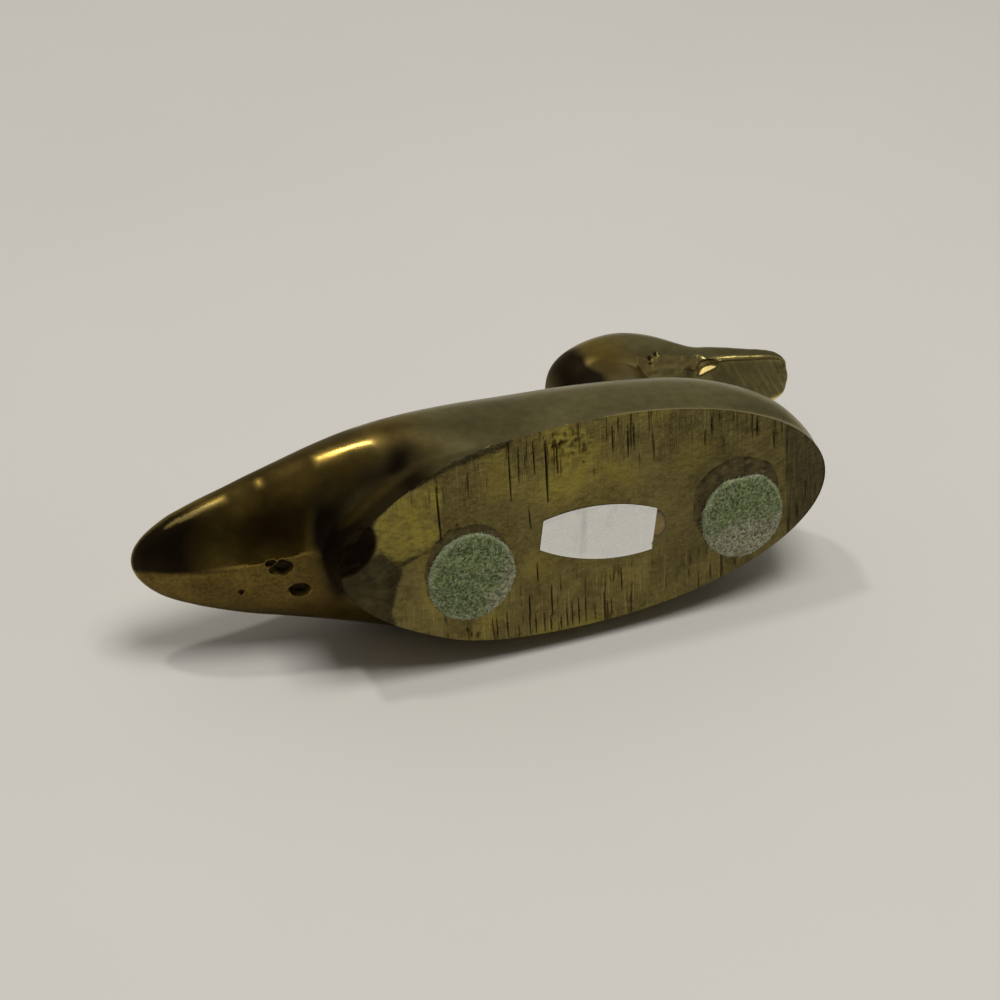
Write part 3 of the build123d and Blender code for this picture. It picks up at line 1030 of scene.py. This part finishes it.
# Fibres of the nap: sizes, rise of their bend as a share of their length, and tilt and turn in radians.
FIBRE_SIZES = {"Fibres per square metre": 1.1e7, "Fibre length": 1.15 * MM, "Fibre thickness": 0.045 * MM}
FIBRE_RISE = 0.22
FIBRE_TILT = 0.22
FULL_TURN = 6.283


def around(spokes):
    """Directions in the sole's plane, evenly all the way round."""
    angles = np.linspace(0, 2 * math.pi, spokes, endpoint=False)
    return np.c_[np.cos(angles), np.sin(angles)]


def fan(limits, first, rings):
    """Points of a disc, ring by ring: x, y and the share of the way out to the limits."""
    shares = np.linspace(first, 1, rings)
    spread = np.array(limits)[:, None] * around(len(limits))
    return np.vstack([np.c_[spread * share, np.full(len(limits), share)] for share in shares])


def disc_mesh(front, spokes, middle, back):
    """A closed disc, from the places of its front ring by ring, its middle and the height of its back."""
    rim = front[-spokes:] * (1, 1, 0) + (0, 0, back)
    centre = len(front)
    start, last = centre + 1, centre - spokes
    faces = []
    for i in range(spokes):
        j = (i + 1) % spokes
        faces.append((centre, i, j))
        faces += [(a + i, a + spokes + i, a + spokes + j, a + j) for a in range(0, last, spokes)]
        faces.append((last + i, start + i, start + j, last + j))
    faces.append(range(start, start + spokes))
    return mesh_from(np.vstack((front, middle, rim)), faces)


def pad_mesh(name, seed, flat_side, worn_way, worn_from, worn_to):
    """A pressed felt disc, crowned and ragged at its edge, grey where it has worn."""
    low, high = (Vector(corner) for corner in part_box(name))
    centre = (low + high) / 2
    radius = (high.x - low.x) / 2
    limits = []
    for x, y in around(PAD_SPOKES):
        way = Vector((x, y, seed))
        reach = radius * (0.988 + 0.016 * noise.noise(way * 2.2) + 0.014 * noise.noise(way * 9.0))
        limits.append(min(reach, flat_side * MM / -way.y) if way.y < 0 else reach)
    points = fan(limits, 0.04, PAD_RINGS)
    out = points[:, 2]
    flat = np.c_[points[:, :2], np.full(len(points), seed * MM)]
    nap = 0.1 * noise_at(flat, 2.6, 51) + 0.07 * noise_at(flat, 0.9, 52)
    edge = held((out - 0.93) / 0.07)
    height = (0.2 + nap + 0.2 * out ** 2 + 0.45 * edge ** 2) * MM
    front = np.c_[points[:, :2] + (centre.x, centre.y), height]
    mesh = disc_mesh(front, PAD_SPOKES, (centre.x, centre.y, PAD_MIDDLE_Z), PAD_TOP_Z)
    worn = step(flat[:, :2] @ worn_way / MM + 3 * noise_at(flat, 4, 53), worn_from, worn_to)
    pale = 0.5 * edge * (0.5 + 0.5 * noise_at(flat, 1.2, 54))
    frayed = step(out, 0.84, 0.98) * step(noise_at(flat, 1.6, 55), -0.2, 0.35) + 0.45 * worn
    set_attributes(
        mesh,
        worn=np.r_[worn, worn[0], worn[-PAD_SPOKES:]],
        pale=np.r_[held(pale), np.zeros(1 + PAD_SPOKES)],
        frayed=np.r_[frayed, 0, np.ones(PAD_SPOKES)],
    )
    return mesh


def napped(name, mesh, material, seed):
    """The felt disc with a nap of short loose fibres laid over it by Geometry Nodes."""
    tree = bpy.data.node_groups.new("felt_nap", "GeometryNodeTree")

    def socket(label, kind, way="INPUT"):
        return tree.interface.new_socket(label, in_out=way, socket_type=kind)

    def made(kind, links=(), **settings):
        return add_node(tree, kind, links, **settings).outputs[0]

    def maths(operation, *values, **settings):
        return made("ShaderNodeMath", enumerate(values), operation=operation, **settings)

    socket("Geometry", "NodeSocketGeometry")
    for label, value in FIBRE_SIZES.items():
        socket(label, "NodeSocketFloat").default_value = value
    seed_socket = socket("Seed", "NodeSocketInt")
    socket("Geometry", "NodeSocketGeometry", "OUTPUT")
    given = tree.nodes.new("NodeGroupInput").outputs
    disc, length = given["Geometry"], given["Fibre length"]

    def scattered(kind, low, high, shift):
        chance = add_node(tree, "FunctionNodeRandomValue", data_type=kind)
        ends = [end for end in chance.inputs if end.enabled]
        ends[0].default_value = low
        ends[1].default_value = high
        plug(tree, chance.inputs["Seed"], maths("ADD", given["Seed"], float(shift)))
        return [end for end in chance.outputs if end.enabled][0]

    half = maths("MULTIPLY", length, 0.5)
    corners = {
        "Start": {"X": maths("MULTIPLY", half, -1.0)},
        "Middle": {"Y": maths("MULTIPLY", length, FIBRE_RISE)},
        "End": {"X": half},
    }
    bend = {key: made("ShaderNodeCombineXYZ", ways) for key, ways in corners.items()}
    arc = made("GeometryNodeCurveQuadraticBezier", {"Resolution": 4, **bend})
    wire = made("GeometryNodeCurvePrimitiveCircle", {"Resolution": 3, "Radius": given["Fibre thickness"]})
    fibre = made("GeometryNodeCurveToMesh", {"Curve": arc, "Profile Curve": wire})
    sown = {"Mesh": disc, "Density": given["Fibres per square metre"], "Seed": given["Seed"]}
    points = made("GeometryNodeDistributePointsOnFaces", sown)
    tilts = scattered("FLOAT_VECTOR", (-FIBRE_TILT, -FIBRE_TILT, 0.0), (FIBRE_TILT, FIBRE_TILT, FULL_TURN), 1)
    turned = made("FunctionNodeEulerToRotation", {0: tilts})
    sized = scattered("FLOAT", 0.35, 1.0, 2)
    laying = {"Points": points, "Instance": fibre, "Rotation": turned, "Scale": sized}
    laid = made("GeometryNodeInstanceOnPoints", laying)
    frayed = made("GeometryNodeInputNamedAttribute", {"Name": "frayed"}, data_type="FLOAT")
    tone = maths("POWER", scattered("FLOAT", 0.0, 1.0, 3), 3.4)
    tone = maths("MULTIPLY_ADD", frayed, 0.5, tone, use_clamp=True)
    toning = {"Geometry": laid, "Name": "pale", "Value": tone}
    toned = made("GeometryNodeStoreNamedAttribute", toning, domain="INSTANCE")
    joined = tree.nodes.new("GeometryNodeJoinGeometry")
    for part in (toned, disc):
        tree.links.new(part, joined.inputs[0])
    real = made("GeometryNodeRealizeInstances", {"Geometry": joined.outputs[0]})
    dressed = made("GeometryNodeSetMaterial", {"Geometry": real, "Material": material})
    tree.links.new(dressed, tree.nodes.new("NodeGroupOutput").inputs[0])

    draft = new_piece(name + "_draft", mesh, material)
    modifier = draft.modifiers.new("nap", "NODES")
    modifier.node_group = tree
    modifier[seed_socket.identifier] = seed
    return new_piece(name, evaluated_mesh(draft), material)


def film_mesh(centre, reach, seed, thickness, beads):
    """A thin ragged film of glue on the sole, given by its reach each way, with beads on it."""
    limits = [reach(Vector((x, y, 0))) for x, y in around(FILM_SPOKES)]
    points = fan(limits, 0.05, FILM_RINGS)
    at, out = points[:, :2] + centre, points[:, 2]
    lumps = 0.75 + 0.25 * noise_at(np.c_[at * MM, np.zeros(len(at))], 1.5, seed)
    height = thickness * lumps * fade(out, 0.9, 1.0) + 0.04 * band(out, 0.82, 0.93, 0.95, 1.0) + 0.01
    bead = np.zeros(len(at))
    for *middle, width, tall in beads:
        near = held(1 - (lengths(at - middle) / (0.5 * width)) ** 2) ** 0.5
        height = np.maximum(height, tall * near)
        bead = np.maximum(bead, near)
    front = np.c_[at * MM, SOLE_Z - height * MM]
    mesh = disc_mesh(front, FILM_SPOKES, (*np.array(centre) * MM, SOLE_Z - thickness * MM), SOLE_Z)
    behind = np.zeros(FILM_SPOKES + 1)
    set_attributes(mesh, bead=np.r_[bead, behind], rim=np.r_[step(out, 0.7, 0.95), behind])
    return smooth_shaded(mesh, 60)


def pad_glue_mesh(pad_name, seed, crept, creep_way, beads):
    """The film under a felt dot, crept out to one side."""
    low, high = (Vector(corner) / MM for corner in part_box(pad_name))
    centre = (low + high) / 2
    radius = (high.x - low.x) / 2
    shift = Vector((0, 0, seed))

    def reach(way):
        toward = max(0.0, way.dot(Vector(creep_way).normalized()))
        ragged = 0.5 * noise.noise(way * 2.5 + shift) + 0.25 * noise.noise(way * 11 + shift)
        return radius - 0.5 + (crept + 1.6 * ragged) * toward ** 0.8

    return film_mesh((centre.x, centre.y), reach, seed, 0.13, beads)


def label_glue_mesh():
    """The amber spot that has crept out past the torn end of the label."""

    def reach(way):
        oval = 1 / math.hypot(way.x / 2.1, way.y / 3.1)
        return oval * (1 + 0.12 * noise.noise((way + Vector((0, 0, 4))) * 1.7))

    return film_mesh((23.1, 3.6), reach, 61, 0.035, ())


# Foil label

# Crease in the foil, from end to end, and how far its dents go in and out, in millimetres.
FOIL_CREASE = ((18.7, -2.9), (19.2, 6.6))
FOIL_SINK = 0.03
FOIL_RISE = 0.045


def foil_mesh():
    """The bare foil label: a thin sheet with dents, a crease near its torn end and worn edges."""
    outline = resampled(node_outline("foil_label", FOIL_LOW_Z), FOIL_GRID)
    points, faces = filled_face(outline, None, FOIL_GRID)
    flat = np.c_[points, np.zeros(len(points))]
    edge = fade(distance_to(outline, points) / MM, 0.0, 0.9)
    crease = held(1 - line_distance(points / MM, *FOIL_CREASE)[0] / 0.5)
    lift = 0.03 * noise_at(flat, 4.0, 71) + 0.012 * noise_at(flat, 1.1, 72)
    lift += 0.035 * crease - 0.02 * edge * (1 + noise_at(flat, 1.5, 73))
    front = FOIL_LOW_Z + (FOIL_SINK - np.clip(lift, -FOIL_SINK, FOIL_RISE)) * MM
    count = len(points)
    rim = range(len(outline))
    places = np.vstack((np.c_[points, front], flat + (0, 0, FOIL_HIGH_Z)))
    mesh = mesh_from(places, [*faces, *(count + faces), *wall(rim, [count + i for i in rim])])
    worn = held(edge * (0.6 + 0.5 * noise_at(flat, 1.8, 74)) + 0.7 * crease)
    set_attributes(mesh, edge=np.r_[worn, np.zeros(count)])
    return smooth_shaded(mesh, 50)


# Materials


class Look:
    """A material in the making, with its colour and relief so far, on the object's own coordinates."""

    def __init__(self, name, **sockets):
        self.material = bpy.data.materials.new(name)
        self.material.use_nodes = True
        self.tree = self.material.node_tree
        self.shader = self.tree.nodes["Principled BSDF"]
        self.place = self.tree.nodes.new("ShaderNodeTexCoord").outputs["Object"]
        self.colour = None
        self.relief = None
        for socket, value in sockets.items():
            self.set(socket.replace("_", " "), value)

    def set(self, socket, value):
        """Sets or links one of the shader's inputs."""
        plug(self.tree, self.shader.inputs[socket], value)

    def noise(self, scale, detail, rough, stretch=(1, 1, 1), turn=0.0):
        """Noise from 0 to 1, which may be stretched into strokes and turned about the vertical."""
        links = {"Vector": self.place, "Scale": [1 / amount for amount in stretch], "Rotation": (0, 0, turn)}
        moved = add_node(self.tree, "ShaderNodeMapping", links, vector_type="TEXTURE").outputs[0]
        links = {"Vector": moved, "Scale": scale, "Detail": detail, "Roughness": rough}
        return add_node(self.tree, "ShaderNodeTexNoise", links).outputs["Fac"]

    def ranged(self, value, low, high, to_low=0.0, to_high=1.0):
        """A value that goes from one range to another and stays within it."""
        links = {"Value": value, "From Min": low, "From Max": high, "To Min": to_low, "To Max": to_high}
        return add_node(self.tree, "ShaderNodeMapRange", links).outputs[0]

    def patches(self, grain, *ranges):
        """Noise with its contrast set by where its range begins and ends."""
        return self.ranged(self.noise(*grain), *ranges)

    def maths(self, first, second, operation="MULTIPLY"):
        """Two values worked together and held between 0 and 1."""
        links = {0: first, 1: second}
        return add_node(self.tree, "ShaderNodeMath", links, operation=operation, use_clamp=True).outputs[0]

    def painted(self, name):
        """A vertex attribute as a value."""
        return add_node(self.tree, "ShaderNodeAttribute", attribute_name=name).outputs["Fac"]

    def mixed(self, share, *colours):
        """One colour going to another."""
        first, second = ((*colour, 1) if isinstance(colour, tuple) else colour for colour in colours)
        links = {0: share, 6: first, 7: second}
        return add_node(self.tree, "ShaderNodeMix", links, data_type="RGBA").outputs[2]

    def coat(self, share, colour):
        """Lays a colour over what is there."""
        self.colour = self.mixed(share, self.colour, colour)

    def bump(self, height, strength, distance):
        """Adds fine relief, its distance in millimetres, to what is there."""
        links = {"Height": height, "Strength": strength, "Distance": distance * MM}
        if self.relief is not None:
            links["Normal"] = self.relief
        self.relief = add_node(self.tree, "ShaderNodeBump", links).outputs[0]
        self.set("Normal", self.relief)

    def done(self, roughness):
        """The finished material."""
        self.set("Base Color", self.colour)
        self.set("Roughness", roughness)
        return self.material


def cast_brass():
    """Old polished brass, tarnished olive and brown in clouds, golden where hands rub it and where highlights
    are painted, dark where shade is painted.
    """
    look = Look("cast_brass", Metallic=1.0, Specular_Tint=(0.75, 0.72, 0.62, 1))
    clouds = look.patches((38, 6, 0.62), 0.36, 0.66)
    olive = look.mixed(clouds, (0.168, 0.147, 0.062), (0.3, 0.261, 0.118))
    golden = look.mixed(clouds, (0.2, 0.13, 0.03), (0.36, 0.25, 0.055))
    look.colour = look.mixed(look.painted("warm"), olive, golden)
    freckles = look.patches((420, 3, 0.6), 0.38, 0.7)
    look.coat(look.maths(freckles, 0.3), (0.09, 0.058, 0.02))
    strokes = look.noise(140, 2, 0.5, (12.0, 1.0, 1.0), -0.445)
    brushed = look.maths(look.ranged(strokes, 0.42, 0.58), look.painted("brushed"))
    look.coat(look.maths(brushed, 0.38), (0.08, 0.066, 0.026))
    spots = look.patches((1300, 4, 0.65), 0.44, 0.66, 0.0, 0.7)
    look.coat(look.maths(spots, look.painted("freckled")), (0.1, 0.06, 0.016))
    # Clean brass, and painted highlights.
    look.coat(look.painted("clean"), (0.85, 0.68, 0.26))
    # Tarnish and dirt, and painted shade.
    look.coat(look.painted("dark"), (0.026, 0.018, 0.009))
    gloss = look.patches((75, 5, 0.6), 0.3, 0.7, 0.17, 0.3)
    for name, share in (("dark", 0.3), ("dull", 0.2)):
        gloss = look.maths(gloss, look.maths(look.painted(name), share), "ADD")
    wipes = look.noise(130, 3, 0.6, (1.0, 9.0, 9.0), 0.5)
    look.bump(look.noise(1500, 3, 0.6), 0.05, 0.05)
    look.bump(wipes, 0.05, 0.2)
    look.bump(brushed, 0.5, 0.12)
    return look.done(gloss)


def ground_brass(name, shift):
    """Brass ground flat across and left to tarnish, with scratches that hold dirt, painted glints along them,
    and painted shade in the heel's flaw.
    """
    look = Look(name, Metallic=1.0)
    dark, dirt, scored = (look.painted(mark) for mark in ("dark", "dirt", "scored"))
    clouds = look.patches((60, 6, 0.62), 0.36, 0.64)
    look.colour = look.mixed(clouds, (0.16, 0.13, 0.044), (0.25, 0.205, 0.07))
    stains = look.patches((210, 5, 0.7), 0.46, 0.66, 0.0, 0.85)
    look.coat(stains, (0.12, 0.086, 0.03))
    flecks = look.patches((900, 3, 0.65), 0.55, 0.7, 0.0, 0.5)
    look.coat(flecks, (0.3, 0.245, 0.085))
    look.coat(look.painted("clean"), (0.36, 0.295, 0.06))
    look.coat(dark, (0.074, 0.061, 0.032))
    # Painted glints along the edges of scratches, fewer where the brass is dark.
    edges = look.patches((3100, 2, 0.6, (1.0, 0.04, 1.0), 0.02), 0.56, 0.7, 0.0, 0.6)
    edges = look.maths(edges, look.ranged(dark, 0.0, 1.0, 1.0, 0.3))
    look.coat(look.maths(edges, look.ranged(scored, 0.0, 1.0, 0.12, 0.85)), (0.42, 0.35, 0.13))
    lines = look.patches((2600, 3, 0.6, (1.0, 0.1, 1.0)), 0.55, 0.68)
    lines = look.maths(lines, look.ranged(scored, 0.0, 1.0, 0.15, 0.4))
    cuts = look.patches((1100, 3, 0.5, (1.0, 0.09, 1.0)), 0.6, 0.66)
    grit = look.maths(lines, look.maths(cuts, scored), "MAXIMUM")
    look.coat(look.maths(grit, 0.6), (0.05, 0.034, 0.014))
    # Dirt, and painted shade in the hollow flaw at the heel.
    look.coat(dirt, (0.02, 0.013, 0.006))
    gloss = look.patches((130, 5, 0.6), 0.3, 0.7, 0.3 + shift, 0.46 + shift)
    gloss = look.maths(gloss, look.maths(look.maths(grit, dirt, "MAXIMUM"), 0.3), "ADD")
    look.bump(grit, 0.35, -0.06)
    look.bump(look.noise(600, 5, 0.65), 1.0, 0.25)
    return look.done(gloss)


def plain_steel():
    """Bright steel with turning marks, for the hidden screw and washer."""
    look = Look("plain_steel", Metallic=1.0)
    tone = look.noise(300, 4, 0.6)
    look.colour = look.mixed(tone, (0.3, 0.3, 0.31), (0.5, 0.5, 0.5))
    look.bump(look.noise(1500, 2, 0.5, (1, 1, 8)), 0.1, 0.05)
    return look.done(look.ranged(tone, 0.3, 0.7, 0.28, 0.45))


def green_felt():
    """Pressed wool felt, green under a pale matted nap, grey where it has worn."""
    look = Look("green_felt", Sheen_Weight=0.25, Sheen_Roughness=0.5, Sheen_Tint=(0.75, 0.85, 0.7, 1))
    look.set("Specular IOR Level", 0.15)
    matted = look.patches((1500, 3, 0.7), 0.4, 0.62)
    clumps = look.patches((260, 4, 0.6), 0.35, 0.65)
    look.colour = look.mixed(clumps, (0.036, 0.058, 0.013), (0.09, 0.137, 0.035))
    look.coat(matted, (0.31, 0.37, 0.16))
    look.coat(look.painted("worn"), look.mixed(matted, (0.1, 0.1, 0.055), (0.52, 0.5, 0.33)))
    look.coat(look.painted("pale"), (0.88, 0.9, 0.66))
    look.bump(matted, 0.6, 0.15)
    return look.done(0.95)


def brown_glue():
    """Dried brown contact glue, a thin shiny skin with dust in it."""
    look = Look("brown_glue", Metallic=0.7)
    clouds = look.patches((420, 5, 0.65), 0.38, 0.64)
    look.colour = look.mixed(clouds, (0.045, 0.032, 0.011), (0.155, 0.122, 0.042))
    dust = look.patches((900, 3, 0.6), 0.6, 0.72, 0.0, 0.5)
    look.coat(dust, (0.26, 0.21, 0.11))
    look.coat(look.painted("bead"), (0.2, 0.14, 0.06))
    look.bump(look.noise(600, 4, 0.6), 0.3, 0.1)
    return look.done(look.ranged(clouds, 0.0, 1.0, 0.32, 0.5))


def amber_glue():
    """Amber glue with a darker dried rim."""
    look = Look("amber_glue", Coat_Weight=0.3, Coat_Roughness=0.2)
    clouds = look.patches((420, 4, 0.6), 0.35, 0.65)
    look.colour = look.mixed(clouds, (0.17, 0.105, 0.02), (0.3, 0.2, 0.045))
    look.coat(look.painted("rim"), (0.06, 0.036, 0.01))
    look.bump(clouds, 0.2, 0.08)
    return look.done(look.ranged(clouds, 0.0, 1.0, 0.3, 0.45))


def silver_foil():
    """Thin silver foil, matt and finely crumpled, with its lacquer worn in streaks."""
    look = Look("silver_foil", Metallic=0.9)
    crumple = look.patches((520, 5, 0.65), 0.33, 0.67)
    look.colour = look.mixed(crumple, (0.84, 0.84, 0.82), (0.96, 0.96, 0.94))
    streaks = look.patches((260, 4, 0.6, (1, 0.25, 1), 0.16), 0.56, 0.7, 0.0, 0.45)
    look.coat(streaks, (0.6, 0.6, 0.57))
    look.coat(look.painted("edge"), (0.93, 0.93, 0.92))
    look.bump(crumple, 0.25, 0.1)
    return look.done(look.ranged(crumple, 0.0, 1.0, 0.22, 0.36))


def pale_floor():
    """A plain pale table, seen only from its upper side."""
    look = Look("pale_floor", Specular_IOR_Level=0.25)
    tone = look.patches((6, 4, 0.5), 0.3, 0.7)
    look.colour = look.mixed(tone, (0.72, 0.705, 0.67), (0.75, 0.735, 0.7))
    clear = look.tree.nodes.new("ShaderNodeBsdfTransparent").outputs[0]
    under = look.tree.nodes.new("ShaderNodeNewGeometry").outputs["Backfacing"]
    shown = add_node(look.tree, "ShaderNodeMixShader", {0: under, 1: look.shader.outputs[0], 2: clear})
    look.tree.links.new(shown.outputs[0], look.tree.nodes["Material Output"].inputs["Surface"])
    return look.done(0.55)


# Pieces

SEAM_OUTLINE, PLATE_OUTLINE = (
    resampled(node_outline(name, SOLE_Z), SEAM_STEP) for name in ("sole_braze_seam", "sole_plate")
)

# Beads of glue: x, y, width, height.
FRONT_BEADS = (
    (44.5, -6.6, 1.3, 0.45),
    (47.8, -3.4, 1.1, 0.5),
    (41.5, -6.9, 0.9, 0.3),
    (39.0, -6.2, 1.0, 0.3),
)
REAR_BEADS = ((-22.0, -5.9, 1.0, 0.3), (-26.4, -3.4, 0.9, 0.3))

brass = cast_brass()
sole_brass = ground_brass("ground_brass", 0.0)
felt = green_felt()
dried_glue = brown_glue()

body_shape = body_mesh()
paint_body(body_shape)
body = new_piece("duck_body", smooth_shaded(body_shape, 50), brass, sole_brass)

head_shape = head_mesh()
paint_head(head_shape)
head = new_piece("duck_head", smooth_shaded(head_shape, 60), brass)

plate = new_piece("ground_sole_plate", slab_mesh(PLATE_OUTLINE), sole_brass)
seam_shape = slab_mesh(SEAM_OUTLINE, PLATE_OUTLINE)
seam = new_piece("ground_braze_seam", seam_shape, ground_brass("brazing_alloy", 0.04))

rear_disc = pad_mesh("felt_pad_rear", 3, math.inf, (0.85, 0.5), 4, 9)
rear_pad = napped("felt_dot_rear", rear_disc, felt, 5)
front_disc = pad_mesh("felt_pad_front", 8, 8.6, (0.1, 1.0), -1, 4)
front_pad = napped("felt_dot_front", front_disc, felt, 9)
rear_film = pad_glue_mesh("felt_pad_rear", 81, 2.3, (-0.2, -0.98, 0), REAR_BEADS)
rear_glue = new_piece("glue_film_rear", rear_film, dried_glue)
front_film = pad_glue_mesh("felt_pad_front", 82, 4.6, (-0.3, -0.95, 0), FRONT_BEADS)
front_glue = new_piece("glue_film_front", front_film, dried_glue)
label = new_piece("bare_foil_label", foil_mesh(), silver_foil())
label_spot = new_piece("label_glue_spot", label_glue_mesh(), amber_glue())

STANDS_FOR = (
    (body, "body_casting", "cast_brass"),
    (head, "head_casting", "cast_brass"),
    (plate, "sole_plate", "ground_brass"),
    (seam, "sole_braze_seam", "brazing_alloy"),
    (rear_pad, "felt_pad_rear", "green_felt"),
    (front_pad, "felt_pad_front", "green_felt"),
    (rear_glue, "pad_glue_rear", "brown_glue"),
    (front_glue, "pad_glue_front", "brown_glue"),
    (label, "foil_label", "silver_foil"),
    (label_spot, "label_glue", "amber_glue"),
)
for piece, node_name, slot_name in STANDS_FOR:
    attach(piece, "root")
    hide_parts(node_name)

steel = plain_steel()
for node_name in ("neck_screw", "neck_washer"):
    shown = nodes[node_name].data.materials
    shown.clear()
    shown.append(steel)


# Floor, light and camera

# The duck lies on its left flank, on a table that is tilted in the part's own frame.
TABLE_TILT = math.radians(11)
TABLE_UP = Vector((0, -math.cos(TABLE_TILT), -math.sin(TABLE_TILT)))
TABLE_SIZE = 1.6

# The room: the way it grows lighter, and the light at three places along that way.
LIGHTER_WAY = (0.0, -0.5, 0.866)
NEAR_ROOM = (0.12, (0.02, 0.016, 0.012, 1))
HALF_WAY = (0.5, (0.14, 0.135, 0.125, 1))
FAR_ROOM = (0.95, (0.36, 0.36, 0.35, 1))

# Lamps: distance, direction, size, watts and colour.
CENTRE = Vector((0.0, 0.0, 0.03))
WARM = (1.0, 0.95, 0.86)
LAMPS = {
    "ceiling_lamp": (1.3, (-0.25, -0.95, 0.1), 0.1, 2.4, WARM),
    "soft_panel": (1.2, (0.12, -0.93, -0.35), 0.6, 7.5, (1.0, 0.98, 0.94)),
    "far_lamp": (1.3, (0.27, -0.91, -0.29), 0.12, 0.6, WARM),
}

CAMERA_PLACE = (-0.19215, -0.22811, -0.44135)
CAMERA_RIGHT = Vector((0.918, 0.0422, -0.3942))
CAMERA_UP = Vector((0.1994, -0.9085, 0.3671))
CAMERA_BACK = Vector((-0.3427, -0.4156, -0.8425))


def lay_floor():
    """The table under the flank that the duck lies on."""
    places = np.vstack([arrays_of(shape)[0] for shape in (body.data, head.data)])
    middle = TABLE_UP * (places @ TABLE_UP).min()
    ahead = Vector((1, 0, 0))
    aside = TABLE_UP.cross(ahead)
    corners = [middle + TABLE_SIZE * (a * ahead + b * aside) for a, b in ((-1, -1), (1, -1), (1, 1), (-1, 1))]
    mesh = bpy.data.meshes.new("table")
    mesh.from_pydata(corners, [], [(0, 1, 2, 3)])
    floor = new_piece("table", mesh, pale_floor())


def lamp(name, distance, way, size, watts, colour):
    """A square soft lamp aimed at the duck."""
    light = bpy.data.lights.new(name, "AREA")
    light.size = size
    light.energy = watts
    light.color = colour
    thing = placed(name, light)
    thing.location = CENTRE + distance * Vector(way)
    thing.rotation_euler = (CENTRE - thing.location).to_track_quat("-Z", "Y").to_euler()
    return thing


def light_room():
    """A dim room that is darker towards the viewer and lighter beyond the duck."""
    world = bpy.data.worlds.new("room")
    bpy.context.scene.world = world
    world.use_nodes = True
    tree = world.node_tree
    way = tree.nodes.new("ShaderNodeTexCoord").outputs["Generated"]
    links = {0: way, 1: LIGHTER_WAY}
    facing = add_node(tree, "ShaderNodeVectorMath", links, operation="DOT_PRODUCT").outputs["Value"]
    share = add_node(tree, "ShaderNodeMapRange", {"Value": facing, "From Min": -1.0}).outputs[0]
    ramp = add_node(tree, "ShaderNodeValToRGB", {0: share})
    stops = ramp.color_ramp.elements
    stops[0].position, stops[0].color = NEAR_ROOM
    stops[1].position, stops[1].color = FAR_ROOM
    stops.new(HALF_WAY[0]).color = HALF_WAY[1]
    tree.links.new(ramp.outputs[0], tree.nodes["Background"].inputs["Color"])


lay_floor()
light_room()
lamps = {name: lamp(name, *form) for name, form in LAMPS.items()}
lamps["soft_panel"].visible_glossy = False

lens = bpy.data.cameras.new("camera")
lens.lens = 93.6
lens.sensor_width = 36
lens.clip_start = 0.01
camera = placed("camera", lens)
turn = Matrix((CAMERA_RIGHT, CAMERA_UP, CAMERA_BACK)).transposed()
camera.matrix_world = Matrix.Translation(CAMERA_PLACE) @ turn.to_quaternion().to_matrix().to_4x4()
bpy.context.scene.camera = camera
bpy.context.scene.view_settings.view_transform = "Standard"
